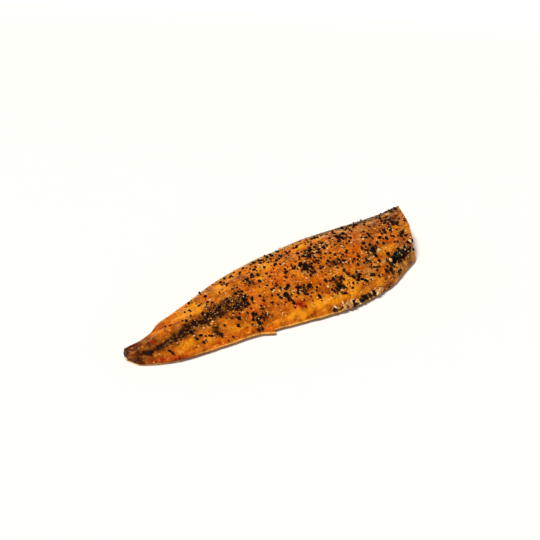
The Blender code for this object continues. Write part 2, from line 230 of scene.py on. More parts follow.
def addNode(tree, kind, values=None, links=None, stops=None, **settings):
    # values: socket -> number or colour; links: socket -> (node, output); stops: colour ramp
    node = tree.nodes.new(kind)
    for name, setting in settings.items():
        setattr(node, name, setting)
    for socket, value in (values or {}).items():
        node.inputs[socket].default_value = value
    for socket, (source, output) in (links or {}).items():
        tree.links.new(source.outputs[output], node.inputs[socket])
    if stops:
        ramp = node.color_ramp
        for _ in range(len(stops) - 2):
            ramp.elements.new(0.5)
        for element, (position, colour) in zip(ramp.elements, stops):
            element.position = position
            element.color = linearColour(colour)
    return node


def newMaterial(name, **surface):
    material = bpy.data.materials.new(name)
    material.use_nodes = True
    tree = material.node_tree
    shader = tree.nodes["Principled BSDF"]
    for socket, value in surface.items():
        shader.inputs[socket.replace("_", " ")].default_value = value
    return material, tree, shader


def perMm(size):
    # texture scale for a pattern of that many millimetres
    return 1000.0 / size


def addMesh(name, points, faces):
    mesh = bpy.data.meshes.new(name)
    mesh.from_pydata(np.asarray(points).tolist(), [], faces)
    mesh.update()
    piece = bpy.data.objects.new(name, mesh)
    bpy.context.collection.objects.link(piece)
    return piece


def smoothFaces(piece):
    for polygon in piece.data.polygons:
        polygon.use_smooth = True


def makeCamera():
    data = bpy.data.cameras.new("camera")
    data.sensor_width = view["sensorWidth"]
    data.lens = view["focalPixels"] / view["imagePixels"] * view["sensorWidth"]
    data.clip_start = 0.01
    camera = bpy.data.objects.new("camera", data)
    bpy.context.collection.objects.link(camera)
    azimuth, elevation, roll = (math.radians(view[k]) for k in ("azimuth", "elevation", "roll"))
    forward = Vector((math.sin(azimuth) * math.cos(elevation),
                      math.cos(azimuth) * math.cos(elevation), -math.sin(elevation)))
    level = Vector((math.cos(azimuth), -math.sin(azimuth), 0.0))
    upright = level.cross(forward)
    right = level * math.cos(roll) + upright * math.sin(roll)
    up = upright * math.cos(roll) - level * math.sin(roll)
    turn = Matrix((right, up, -forward)).transposed().to_4x4()
    place = Vector(view["place"]) + Vector(shift)
    camera.matrix_world = Matrix.Translation(place) @ turn
    bpy.context.scene.camera = camera


def makeLights():
    for name in ("key", "fill"):
        data = bpy.data.lights.new(name + " light", "SUN")
        data.angle = math.radians(light[name + "Angle"])
        data.energy = light[name + "Strength"]
        data.color = linearColour(light[name + "Colour"])[:3]
        lamp = bpy.data.objects.new(name + " light", data)
        bpy.context.collection.objects.link(lamp)
        lamp.location = light[name + "From"]
        lamp.rotation_euler = (-lamp.location).to_track_quat("-Z", "Y").to_euler()
    world = bpy.data.worlds.new("studio")
    world.use_nodes = True
    background = world.node_tree.nodes["Background"]
    background.inputs["Color"].default_value = linearColour(light["worldColour"])
    background.inputs["Strength"].default_value = light["worldStrength"]
    bpy.context.scene.world = world
    bpy.context.scene.view_settings.view_transform = "Standard"
    bpy.context.scene.view_settings.look = "Medium High Contrast"


def makeFloor():
    sides, rings = floorLook["sides"], floorLook["rings"]
    points = [(0.0, 0.0, 0.0)]
    for radius, height in rings[1:]:
        for k in range(sides):
            angle = math.tau * k / sides
            points.append((radius * math.cos(angle), radius * math.sin(angle), height))
    faces = [(0, 1 + k, 1 + (k + 1) % sides) for k in range(sides)]
    for ring in range(len(rings) - 2):
        inner, outer = 1 + ring * sides, 1 + (ring + 1) * sides
        for k in range(sides):
            after = (k + 1) % sides
            faces.append((inner + k, outer + k, outer + after, inner + after))
    floor = addMesh("floor", points, faces)
    smoothFaces(floor)
    # matt studio paper: pale and even, so that only the shadow shows on it
    paper = newMaterial("matt studio paper", Base_Color=linearColour(floorLook["colour"]),
                        Roughness=floorLook["roughness"])[0]
    floor.data.materials.append(paper)


makeCamera()
makeLights()
makeFloor()
print("camera, lights and floor made")


# Meshes of the meat and the skin

meat = dict(
    stepsAlong=440, stepsAcross=172, rimRows=14, coarse=4,
    inset=0.00035,                  # how far the rounded rim sits in from the outline
    rimReach=0.0011, rimDrop=0.9,   # how near the edge the top rounds over, and its share of inset
    lumpSize=0.0070, lumpHeight=0.00042,
    wrinkleSize=0.0014, wrinkleLength=4.0, wrinkleHeight=0.00022,
    pitSize=0.0018, pitHeight=0.00030, pitSpan=(0.15, 0.80),
    # flakes lie in a wide V along the fish, wobble, and show in patches only
    flakeSpacing=0.0068, flakeHeight=0.00034, flakeSlant=0.020, flakeMiddle=0.52,
    flakeWave=0.004, flakeWobble=0.35, flakeWobbleSize=0.010, flakeEnd=0.86,
    patchSize=0.016, patchSpan=(-0.25, 0.55),
    flapSpan=(0.73, 1.10), flapBlur=0.06, flapAcross=(0.095, 0.115),
    flapFold=0.00028, flapFolds=5.5, foldSink=0.3, foldWobble=0.5, foldWobbleSize=0.012,
    # thin ridges of torn belly wall: points (u, v), half width, height
    ridges=[([(0.452, 0.085), (0.500, 0.112), (0.553, 0.155)], 0.0006, 0.0009),
            ([(0.553, 0.155), (0.560, 0.210), (0.572, 0.285)], 0.0010, 0.0006),
            ([(0.553, 0.155), (0.600, 0.120), (0.670, 0.105)], 0.0010, 0.0006)],
    reliefEdge=0.03,                # no relief on the last bit at both edges
    raggedSize=0.0030, raggedStretch=5.0, raggedReach=0.0012,
    raggedBelly=0.00028, raggedBack=0.00015, raggedEnds=0.00055,
    # layers and dents on the ends where they are taller than this
    tallEnds=(0.003, 0.006), layerSize=0.0018, layerDepth=0.00030, layerStretch=0.5,
    layerTilt=0.25, dentSize=0.0050, dentDepth=0.00035,
)

skin = dict(
    thickness=0.00038, stepsAlong=360, stepsAcross=140, rimRows=4, coarse=4,
    gap=0.00002, rimSwell=0.00008,          # a hair from the meat, with a rounded edge
    overhang=0.00022, wrinkleSize=0.0022, wrinkleLength=3.0, wrinkleHeight=0.00008,
    # how far its edge moves in and out of sight, and how much of that it sits in
    frayed=0.00045, frayedSize=0.0060, frayedIn=0.35,
    tuck=0.00090, tuckAcross=0.10,          # along the belly edge it stays in under the meat
)


def fromLine(x, y, points):
    # distance to the nearest part of a line through (u, v) points
    nearest = np.full(np.shape(x), 1.0)
    for (u0, v0), (u1, v1) in zip(points[:-1], points[1:]):
        ax, ay = plan(u0, v0)
        bx, by = plan(u1, v1)
        t = ((x - ax) * (bx - ax) + (y - ay) * (by - ay)) / ((bx - ax) ** 2 + (by - ay) ** 2)
        t = np.clip(t, 0, 1)
        nearest = np.minimum(nearest, np.hypot(x - ax - t * (bx - ax), y - ay - t * (by - ay)))
    return nearest


def fineRelief(u, v, x, y):
    # flakes, lumps, wrinkles and pits, each under half a millimetre, then folds and torn ridges
    chevron = (meat["flakeSlant"] * np.abs(v - meat["flakeMiddle"])
               + meat["flakeWave"] * np.cos(4 * math.pi * v))
    phase = ((x + chevron) / meat["flakeSpacing"]
             + meat["flakeWobble"] * softNoise(x, y, meat["flakeWobbleSize"], 31))
    saw = phase - np.floor(phase)
    fall = fade(saw, meat["flakeEnd"], 1.0)
    flake = (saw - 0.5) * (1 - fall) - 0.5 * fall
    where = fade(softNoise(x, y, meat["patchSize"], 37), *meat["patchSpan"])
    lump = layeredNoise(x, y, meat["lumpSize"], 3)
    wrinkle = layeredNoise(x / meat["wrinkleLength"], y, meat["wrinkleSize"], 11)
    pit = layeredNoise(x, y, meat["pitSize"], 17, 2)
    height = (meat["flakeHeight"] * flake * where + meat["lumpHeight"] * lump
              + meat["wrinkleHeight"] * wrinkle
              - meat["pitHeight"] * fade(pit, *meat["pitSpan"]))
    flap = window(u, meat["flapSpan"], meat["flapBlur"]) * (1 - fade(v, *meat["flapAcross"]))
    fold = (v / meat["flapAcross"][1] * meat["flapFolds"]
            + meat["foldWobble"] * softNoise(x, y, meat["foldWobbleSize"], 43))
    height = height + meat["flapFold"] * flap * (np.sin(math.tau * fold) - meat["foldSink"])
    for points, width, tall in meat["ridges"]:
        height = height + tall * bell(fromLine(x, y, points), 0.0, width)
    edge = meat["reliefEdge"]
    return height * fade(v, 0.0, edge) * (1 - fade(v, 1 - edge, 1.0))


def nearEdge(distance):
    # 1 on an edge, falling to 0 inland
    return np.exp(-distance / meat["raggedReach"])


def ragged(u, v, x, y):
    # torn, uneven edge: moves the outline in and out by a fraction of a millimetre
    width, length = roughWidth(u), form["backEnd"]
    size, stretch = meat["raggedSize"], meat["raggedStretch"]
    belly = nearEdge(v * width) * meat["raggedBelly"] * layeredNoise(x, y / stretch, size, 41)
    back = nearEdge((1 - v) * width) * meat["raggedBack"] * layeredNoise(x, y / stretch, size, 47)
    tail = nearEdge(u * length) * meat["raggedEnds"] * layeredNoise(x / stretch, y, size, 53)
    head = nearEdge((1 - u) * length) * meat["raggedEnds"] * layeredNoise(x / stretch, y, size, 59)
    # the head end is cut at a slant
    cut = Vector((form["backEnd"] - form["bellyEnd"],
                  form["backEdge"][-1][1] - form["bellyEdge"][-1][1])).normalized()
    return x + head * cut.y - tail, y + back - belly - head * cut.x


def sheetPoints(u, v, height, inset):
    # inset draws the sheet in from the outline by that many metres
    a, b = inset / roughWidth(u), inset / form["backEnd"]
    uu, vv = b + (1 - 2 * b) * u, a + (1 - 2 * a) * v
    x, y = plan(uu, vv)
    z = height(u, v, x, y)
    x, y = ragged(u, v, x, y)
    return np.stack([x, y, z], axis=-1) + shift


def borderLoop(rows, columns):
    # grid places round the border, anticlockwise seen from above
    belly = [(i, 0) for i in range(rows)]
    head = [(rows, j) for j in range(columns)]
    back = [(i, columns) for i in range(rows, 0, -1)]
    tail = [(0, j) for j in range(columns, 0, -1)]
    return belly + head + back + tail


def sheetGrid(rows, columns):
    # where a sheet's points are, the number of each, and the faces between them
    gridU, gridV = np.meshgrid(np.linspace(0, 1, rows + 1), np.linspace(0, 1, columns + 1),
                               indexing="ij")
    number = np.arange((rows + 1) * (columns + 1)).reshape(rows + 1, columns + 1)
    a, b = number[:-1, :-1].ravel(), number[1:, :-1].ravel()
    c, d = number[1:, 1:].ravel(), number[:-1, 1:].ravel()
    return gridU, gridV, number, np.stack([a, b, c, d], axis=1).tolist()


def rimRings(first, last, rows, bulge):
    # rings of points from the border of the fine sheet to that of the coarse one
    side = np.roll(first, -1, axis=0) - np.roll(first, 1, axis=0)
    out = np.stack([side[:, 1], -side[:, 0], np.zeros(len(side))], axis=1)
    out /= np.linalg.norm(out, axis=1)[:, None]
    shares = [row / rows for row in range(1, rows + 1)]
    return [first * (1 - t) + last * t + out * bulge(t)[:, None] for t in shares]


def hiddenFaces(rows, columns, step, number):
    # large faces for the sheet that doesn't show, with all of the border's points
    faces = []
    for i in range(0, rows, step):
        for j in range(0, columns, step):
            walk = [(i, j + k) for k in range(step)] + [(i + k, j + step) for k in range(step)]
            walk += [(i + step, j + step - k) for k in range(step)]
            walk += [(i + step - k, j) for k in range(step)]
            faces.append([number[place] for place in walk if place in number])
    return faces


def closedLoft(name, fine, coarse, fineIsTop, look, rimBulge):
    # a closed body: a fine sheet, a rim, and a coarse sheet where it doesn't show
    rows, columns, step = look["stepsAlong"], look["stepsAcross"], look["coarse"]
    gridU, gridV, number, faces = sheetGrid(rows, columns)
    loop = borderLoop(rows, columns)
    loopU = np.array([i / rows for i, j in loop])
    loopV = np.array([j / columns for i, j in loop])
    first, last = fine(loopU, loopV), coarse(loopU, loopV)
    rim = rimRings(first, last, look["rimRows"], lambda t: rimBulge(t, loopU, loopV, first, last))
    inner = [(i, j) for i in range(step, rows, step) for j in range(step, columns, step)]
    innerU = np.array([i / rows for i, j in inner])
    innerV = np.array([j / columns for i, j in inner])

    rings = [[int(number[place]) for place in loop]]
    count = number.size
    for _ in rim:
        rings.append(list(range(count, count + len(loop))))
        count += len(loop)
    for upper, lower in zip(rings[:-1], rings[1:]):
        faces += zip(upper, lower, lower[1:] + lower[:1], upper[1:] + upper[:1])
    hiddenNumber = dict(zip(loop, rings[-1]))
    hiddenNumber.update((place, count + k) for k, place in enumerate(inner))
    faces += hiddenFaces(rows, columns, step, hiddenNumber)
    if not fineIsTop:
        faces = [face[::-1] for face in faces]

    points = [fine(gridU, gridV).reshape(-1, 3), *rim, coarse(innerU, innerV)]
    piece = addMesh(name, np.concatenate(points), faces)
    smoothFaces(piece)
    allU = np.concatenate([gridU.ravel(), *[loopU] * len(rim), innerU])
    allV = np.concatenate([gridV.ravel(), *[loopV] * len(rim), innerV])
    # depth is 0 on the fine sheet, then grows down the rim to 1 on the coarse one
    rimDepth = np.repeat(np.arange(1, len(rim) + 1) / len(rim), len(loop))
    depth = np.concatenate([np.zeros(number.size), rimDepth, np.ones(len(inner))])
    return piece, (allU, allV, depth)


def addField(piece, name, values):
    # a named value at every point, which the material reads
    field = piece.data.attributes.new(name, "FLOAT", "POINT")
    field.data.foreach_set("value", np.asarray(values, np.float32))


def rimDrop(u, v):
    # rounds the top over just before the edge
    near = np.minimum(np.minimum(v, 1 - v) * roughWidth(u),
                      np.minimum(u, 1 - u) * form["backEnd"])
    return meat["rimDrop"] * (1 - fade(near, 0.0, meat["rimReach"]))


def meatTop(u, v):
    def height(a, b, x, y):
        return upperHeight(a, b) + fineRelief(a, b, x, y) - meat["inset"] * rimDrop(a, b)
    return sheetPoints(u, v, height, meat["inset"])


def meatBottom(u, v):
    def height(a, b, x, y):
        return lowerHeight(a, b) + skin["thickness"]
    return sheetPoints(u, v, height, meat["inset"])


def meatRim(t, u, v, first, last):
    # swells out to the outline, with layers of flakes on the tall cut ends
    across, tall = first[:, 1], first[:, 2] - last[:, 2]
    height = first[:, 2] * (1 - t) + last[:, 2] * t
    layers = meat["layerDepth"] * layeredNoise(
        across * meat["layerStretch"], height + meat["layerTilt"] * across, meat["layerSize"], 67)
    dents = meat["dentDepth"] * layeredNoise(across, height, meat["dentSize"], 71)
    swell = meat["inset"] * math.sin(math.pi * t) ** 0.5 if t < 1 else 0.0
    return swell + fade(tall, *meat["tallEnds"]) * (layers + dents) * math.sin(math.pi * t)


def skinInset(u, v):
    x, y = plan(u, v)
    frayed = skin["frayed"] * (skin["frayedIn"] + layeredNoise(x, y, skin["frayedSize"], 79))
    return frayed - skin["overhang"] + skin["tuck"] * (1 - fade(v, 0.0, skin["tuckAcross"]))


def skinOuter(u, v):
    def height(a, b, x, y):
        crease = layeredNoise(x / skin["wrinkleLength"], y, skin["wrinkleSize"], 83)
        return lowerHeight(a, b) + skin["wrinkleHeight"] * fade(crease, 0.0, 0.9)
    return sheetPoints(u, v, height, skinInset(u, v))


def skinInner(u, v):
    def height(a, b, x, y):
        return lowerHeight(a, b) + skin["thickness"] - skin["gap"]
    return sheetPoints(u, v, height, skinInset(u, v))


def skinRim(t, u, v, first, last):
    return np.full(len(u), skin["rimSwell"] * math.sin(math.pi * t))


meatPiece, (meatU, meatV, meatDepth) = closedLoft(
    "smokedMeat", meatTop, meatBottom, True, meat, meatRim)
print("meat made,", len(meatPiece.data.polygons), "faces")

skinPiece, skinPlaces = closedLoft("smokedSkin", skinOuter, skinInner, False, skin, skinRim)
print("skin made,", len(skinPiece.data.polygons), "faces")


# Pepper

pepper = dict(
    seed=17, grains=200, tries=1900, size=(0.0013, 0.0027), gap=0.0003, sunk=0.28,
    tailShare=0.62, tailShareEnd=0.60,      # grains near the tail are this much smaller
    stretch=(0.95, 1.35), flatness=(0.60, 0.85), roughness=0.20, chipping=0.20,
    span=(0.02, 0.985), edgeMargin=0.035, edgeSquash=0.62,
    # how thickly it lies where there is no patch
    evenWeight=1.0, tailWeight=0.25, tailSpan=(0.03, 0.20), headWeight=0.40,
    headSpan=(0.78, 0.95), bandWeight=0.18, bandAcross=0.10, bandEnd=0.72,
    slotWeight=0.05, slotWidth=0.045,
    stripWeight=0.15, stripSpan=(0.30, 0.90),
    stripLine=[(0.30, 0.955), (0.45, 0.930), (0.60, 0.890), (0.68, 0.880), (0.76, 0.820),
               (0.90, 0.820)],
    # patches where it lies thickest: (u, v, radius, extra weight)
    patches=[
        (0.125, 0.44, 0.0028, 6.0), (0.185, 0.44, 0.0034, 7.0), (0.188, 0.60, 0.0033, 7.0),
        (0.235, 0.48, 0.0026, 5.0), (0.267, 0.46, 0.0034, 9.0), (0.245, 0.34, 0.0036, 7.0),
        (0.118, 0.26, 0.0020, 7.0), (0.163, 0.25, 0.0025, 6.0), (0.158, 0.16, 0.0028, 9.0),
        (0.122, 0.12, 0.0020, 7.0), (0.222, 0.23, 0.0020, 5.0), (0.262, 0.14, 0.0026, 7.0),
        (0.252, 0.04, 0.0028, 9.0), (0.292, 0.18, 0.0025, 7.0), (0.317, 0.60, 0.0031, 9.0),
        (0.350, 0.69, 0.0025, 5.0), (0.366, 0.26, 0.0030, 9.0), (0.420, 0.26, 0.0029, 8.0),
        (0.420, 0.88, 0.0040, 4.0), (0.470, 0.47, 0.0044, 9.0), (0.476, 0.39, 0.0022, 5.0),
        (0.500, 0.58, 0.0027, 8.0), (0.522, 0.62, 0.0027, 9.0), (0.540, 0.66, 0.0025, 8.0),
        (0.525, 0.21, 0.0032, 9.0), (0.502, 0.15, 0.0030, 5.0), (0.550, 0.55, 0.0028, 4.0),
        (0.575, 0.68, 0.0048, 3.5), (0.590, 0.41, 0.0044, 2.5), (0.600, 0.185, 0.0029, 8.0),
        (0.625, 0.61, 0.0029, 5.0), (0.655, 0.30, 0.0026, 6.0), (0.662, 0.65, 0.0038, 9.0),
        (0.698, 0.29, 0.0034, 9.0), (0.722, 0.35, 0.0030, 9.0), (0.705, 0.14, 0.0060, 1.5),
        (0.757, 0.61, 0.0029, 5.0), (0.748, 0.775, 0.0036, 3.0), (0.762, 0.07, 0.0028, 4.0),
        (0.825, 0.48, 0.0029, 8.0), (0.852, 0.54, 0.0034, 5.0), (0.892, 0.56, 0.0036, 5.0),
        (0.912, 0.37, 0.0030, 8.0), (0.885, 0.74, 0.0044, 2.0), (0.915, 0.93, 0.0034, 4.0),
        (0.960, 0.84, 0.0036, 2.0), (0.985, 0.52, 0.0030, 4.0)],
    # pieces set one by one, most of them along the belly edge: (u, v, size)
    placed=[
        (0.024, 0.300, 0.0040), (0.462, 0.016, 0.0024), (0.476, 0.022, 0.0018),
        (0.496, 0.014, 0.0026), (0.514, 0.020, 0.0032), (0.533, 0.012, 0.0021),
        (0.549, 0.022, 0.0026), (0.566, 0.012, 0.0022), (0.583, 0.022, 0.0028),
        (0.606, 0.014, 0.0020), (0.630, 0.022, 0.0022), (0.648, 0.012, 0.0028),
        (0.668, 0.014, 0.0030)],
    palePlaced=(2, 3, 4, 6, 11, 12),      # which of those are cream
    placedTone=0.35,                      # these have the darker tones only
    clumpShare=0.55,                      # the lump on the tail is a clump round a smaller grain
    paleShare=0.04,                       # of the other large grains
)
patchCentres = [(*map(float, plan(u, v)), radius, extra) for u, v, radius, extra
                in pepper["patches"]]
heaviestPatch = max(extra for x, y, radius, extra in patchCentres)


def pepperWeight(u, v):
    # how thickly pepper lies; takes single places and whole arrays
    u, v = np.asarray(u), np.asarray(v)
    tail = fade(u, *pepper["tailSpan"])
    weight = pepper["tailWeight"] + (pepper["evenWeight"] - pepper["tailWeight"]) * tail
    weight = weight * (1 - (1 - pepper["headWeight"]) * fade(u, *pepper["headSpan"]))
    bare = dict(
        band=(v < pepper["bandAcross"]) & (u < pepper["bandEnd"]),
        slot=((u > form["slotSpan"][0])
              & (np.abs(v - alongCurve(form["slotLine"], u)) < pepper["slotWidth"])),
        strip=((u > pepper["stripSpan"][0]) & (u < pepper["stripSpan"][1])
               & (v > alongCurve(pepper["stripLine"], u))))
    for place, inside in bare.items():
        weight = np.where(inside, weight * pepper[place + "Weight"], weight)
    x, y = plan(u, v)
    for patchX, patchY, radius, extra in patchCentres:
        weight = weight + extra * bell(np.hypot(x - patchX, y - patchY), 0.0, radius)
    return weight


def grainShare(u):
    return pepper["tailShare"] + (1 - pepper["tailShare"]) * fade(u, 0.0, pepper["tailShareEnd"])


def pepperPlaces(draw):
    # the same draws as the CAD solid's grains, so each grain stands on its solid
    heaviest = pepper["evenWeight"] + heaviestPatch
    places = list(pepper["placed"])
    taken = [(*map(float, plan(u, v)), size) for u, v, size in places]
    small, large = pepper["size"]
    for attempt in range(pepper["tries"]):
        if len(places) >= pepper["grains"]:
            break
        u = draw.uniform(*pepper["span"])
        v = draw.uniform(pepper["edgeMargin"], 1 - pepper["edgeMargin"])
        keep = draw.random() * heaviest
        size = (large - (large - small) * attempt / pepper["tries"]) * float(grainShare(u))
        if keep > pepperWeight(u, v):
            continue
        x, y = map(float, plan(u, v))
        if all(math.hypot(x - a, y - b) > (size + s) / 2 + pepper["gap"] for a, b, s in taken):
            places.append((u, v, size))
            taken.append((x, y, size))
    return places, taken


def surfaceFrames(u, v):
    # points on the meat, with their outward normals
    def points(a, b):
        return np.stack([*plan(a, b), upperHeight(a, b)], axis=-1)

    step = 0.004
    across = np.cross(points(u + step, v) - points(u - step, v),
                      points(u, v + step) - points(u, v - step))
    place = points(u, v)
    place[..., 2] += fineRelief(u, v, place[..., 0], place[..., 1])
    return place + shift, across / np.linalg.norm(across, axis=-1, keepdims=True)


def lumpTemplate():
    # an icosahedron, and the edges whose middles make the finer lump
    bm = bmesh.new()
    bmesh.ops.create_icosphere(bm, subdivisions=1, radius=1.0)
    bm.verts.index_update()
    corners = np.array([v.co[:] for v in bm.verts])
    edges = [tuple(v.index for v in e.verts) for e in bm.edges]
    coarse = [[v.index for v in face.verts] for face in bm.faces]
    bm.free()
    middle = {frozenset(e): len(corners) + k for k, e in enumerate(edges)}
    fine = []
    for a, b, c in coarse:
        ab, bc, ca = (middle[frozenset(e)] for e in ((a, b), (b, c), (c, a)))
        fine += [[a, ab, ca], [b, bc, ab], [c, ca, bc], [ab, bc, ca]]
    return corners, edges, coarse, fine


lumpCorners, lumpEdges, coarseFaces, fineFaces = lumpTemplate()


def grainPoints(point, normal, size, rule, look, chips=None, squash=1.0):
    # one cracked grain: a jagged icosahedron; with chips, its edge middles are broken in or out
    stretch = rule.uniform(*look["stretch"]) / math.sqrt(squash)
    flatness = rule.uniform(*look["flatness"]) * squash
    jags = [1 + rule.uniform(-look["roughness"], look["roughness"]) for _ in lumpCorners]
    spin = rule.uniform(0, math.tau)
    points = lumpCorners * (size / 2) * np.array(jags)[:, None]
    if chips is not None:
        middles = np.array([(points[a] + points[b]) / 2 for a, b in lumpEdges])
        depths = chips.uniform(-look["chipping"], look["chipping"], len(middles))
        points = np.concatenate([points, middles * (1.0 + depths)[:, None]])
    normal = Vector(normal)
    turn = normal.to_track_quat("Z", "Y").to_matrix() @ Matrix.Rotation(spin, 3, "Z")
    raised = size * flatness * (0.5 - look["sunk"]) + look.get("lift", 0.0)
    return (points * (stretch, 1.0, flatness)) @ np.array(turn).T + point + normal * raised


def joinGrains(name, grains, rule, placed=0):
    # grains of one kind become one mesh; each has its own tone from 0 to 1, darker where placed
    count = len(grains[0])
    shape = fineFaces if count > len(lumpCorners) else coarseFaces
    faces = [[i + k * count for i in face] for k in range(len(grains)) for face in shape]
    piece = addMesh(name, np.concatenate(grains), faces)
    tones = rule.random(len(grains))
    tones[:placed] *= pepper["placedTone"]
    addField(piece, "tone", np.repeat(tones, count))
    print(name + ":", len(grains), "grains")
    return piece


small = dict(
    black=740, blackSize=(0.0008, 0.0018), pale=400, paleSize=(0.0006, 0.0014),
    dust=2100, dustSize=(0.00030, 0.00066), crumbs=55, crumbSize=(0.0007, 0.0017),
    slot=44, slotSize=(0.0011, 0.0024),
    # where they may lie: from u, to u, from v, to v
    region=(0.01, 0.99, 0.012, 0.968), slotRegion=(0.775, 0.985, 0.095, 0.200),
    crumbRegion=(0.455, 0.68, 0.000, 0.040),
    headThin=0.42, headSpan=(0.62, 0.80),       # how much fewer lie at the head end
    tries=60000, fullWeight=10.0,
    mostlySmall=1.6,                # above 1, the smaller sizes are the commoner ones
    overlap=0.60,                   # grains may come this near, as a share of touching
    nearby=0.003,                   # farther ones never touch
    stretch=(0.9, 1.5), flatness=(0.55, 0.95), roughness=0.24, chipping=0.20, sunk=0.20,
    # a heap on the tail, (u, v, size)
    heap=[(0.0300, 0.385, 0.0019), (0.0285, 0.310, 0.0018), (0.0215, 0.335, 0.0017),
          (0.0262, 0.245, 0.0019), (0.0180, 0.215, 0.0019), (0.0215, 0.170, 0.0016)],
)
# some grains ride on others in the patches
heaped = dict(small, lift=0.0005, share=0.30, patchWeight=4.5)
onTail = dict(small, lift=0.0006)
onLining = dict(small, lift=0.0004)
crumbly = dict(small, stretch=(1.0, 2.0), flatness=(0.35, 0.70), roughness=0.34)


def scatter(count, sizes, seed, spread, power, region=small["region"]):
    # places for small grains, thick where the pepper patches are; spread has those already there
    rule, tries = np.random.default_rng(seed), small["tries"]
    u = rule.uniform(region[0], region[1], tries)
    v = rule.uniform(region[2], region[3], tries)
    share = rule.random(tries) ** small["mostlySmall"]
    size = (sizes[0] + (sizes[1] - sizes[0]) * share) * grainShare(u)
    weight = pepperWeight(u, v) ** power * (1 - small["headThin"] * fade(u, *small["headSpan"]))
    keep = weight * roughWidth(u) / roughWidth(1.0)
    x, y = plan(u, v)
    places = []
    for k in np.flatnonzero(rule.random(tries) * small["fullWeight"] ** power < keep):
        if len(places) >= count:
            break
        near = (other for other in spread
                if max(abs(x[k] - other[0]), abs(y[k] - other[1])) < small["nearby"])
        if all(math.hypot(x[k] - a, y[k] - b) > small["overlap"] * (size[k] + s) / 2
               for a, b, s in near):
            places.append((u[k], v[k], size[k]))
            spread.append((x[k], y[k], size[k]))
    return np.array(places)


def scattered(places, seed, look, chips=None):
    # grains at those places, a share of them riding on others where the pepper is thick
    rule = random.Random(seed)
    u, v, sizes = np.asarray(places).T
    thick = pepperWeight(u, v) > heaped["patchWeight"]
    grains = []
    for point, normal, size, inPatch in zip(*surfaceFrames(u, v), sizes, thick):
        onTop = inPatch and rule.random() < heaped["share"]
        grains.append(grainPoints(point, normal, size, rule, heaped if onTop else look, chips))
    return grains


chips = np.random.default_rng(101)
draw = random.Random(pepper["seed"])
largePlaces, taken = pepperPlaces(draw)
largeU, largeV, largeSizes = np.array(largePlaces).T
blackGrains, paleGrains = [], []
pick = random.Random(5)
for number, (point, normal) in enumerate(zip(*surfaceFrames(largeU, largeV))):
    placed = number < len(pepper["placed"])
    onEdge = placed and largeV[number] < pepper["bandAcross"]
    size = largeSizes[number] * (pepper["clumpShare"] if placed and not onEdge else 1.0)
    grain = grainPoints(point, normal, size, draw, pepper, chips,
                        pepper["edgeSquash"] if onEdge else 1.0)
    pale = number in pepper["palePlaced"] if placed else pick.random() < pepper["paleShare"]
    (paleGrains if pale else blackGrains).append(grain)

blackGrains += scattered(scatter(small["black"], small["blackSize"], 211, taken, 1.0),
                         212, small, chips)
paleGrains += scattered(scatter(small["pale"], small["paleSize"], 223, taken, 0.8),
                        224, small, chips)
blackGrains += scattered(small["heap"], 213, onTail, chips)
# bits of pepper on the lining, then the crust's crumbs, both black and cream
slotGrains = scattered(scatter(small["slot"], small["slotSize"], 215, taken, 0.0,
                               small["slotRegion"]), 216, onLining, chips)
blackGrains += [grain for number, grain in enumerate(slotGrains) if number % 5]
paleGrains += slotGrains[::5]
crumbGrains = scattered(scatter(small["crumbs"], small["crumbSize"], 227, list(taken), 0.0,
                                small["crumbRegion"]), 228, crumbly, chips)
paleGrains += crumbGrains[::2]
blackGrains += crumbGrains[1::2]
dustGrains = scattered(scatter(small["dust"], small["dustSize"], 229, [], 0.5), 230, small)

chilli = dict(
    # flakes listed one by one (u, v, length), then this many more at random
    placed=[(0.374, 0.165, 0.0014), (0.381, 0.140, 0.0018), (0.388, 0.122, 0.0014),
            (0.371, 0.145, 0.0012), (0.392, 0.105, 0.0012), (0.570, 0.245, 0.0018),
            (0.602, 0.300, 0.0013), (0.485, 0.200, 0.0013), (0.045, 0.620, 0.0018),
            (0.085, 0.820, 0.0015), (0.101, 0.700, 0.0014), (0.800, 0.510, 0.0014),
            (0.300, 0.255, 0.0014), (0.150, 0.050, 0.0012), (0.590, 0.085, 0.0014),
            (0.060, 0.040, 0.0014)],
    more=16, moreSize=(0.0007, 0.0012),
    stretch=(1.2, 1.8), flatness=(0.22, 0.34), roughness=0.22, chipping=0.20, sunk=0.10,
)
flakePlaces = [*chilli["placed"], *scatter(chilli["more"], chilli["moreSize"], 233, taken, 0.2)]
flakeGrains = scattered(flakePlaces, 234, chilli, chips)

blackPiece = joinGrains("blackPepper", blackGrains, np.random.default_rng(7))
palePiece = joinGrains("palePepper", paleGrains, np.random.default_rng(8),
                       len(pepper["palePlaced"]))
dustPiece = joinGrains("groundPepper", dustGrains, np.random.default_rng(9))
chilliPiece = joinGrains("chilliFlakes", flakeGrains, np.random.default_rng(10))


# The black lining of the belly, left in the slot at the head end

lining = dict(
    stepsAlong=180, stepsAcross=36, rimRows=1, coarse=1,
    start=0.765, end=0.990, halfWidth=0.044,
    endShare=0.35, taper=1.15,      # how wide its ends are, and how early it narrows to the head
    torn=0.020, tornSizes=(0.012, 0.009), lift=0.00055, thickness=0.00016, relief=0.5,
    crease=0.00090, creaseSize=0.0030, creaseLength=1.7,
    crinkle=0.00020, crinkleSize=0.0015, crinkleLength=1.4,
)


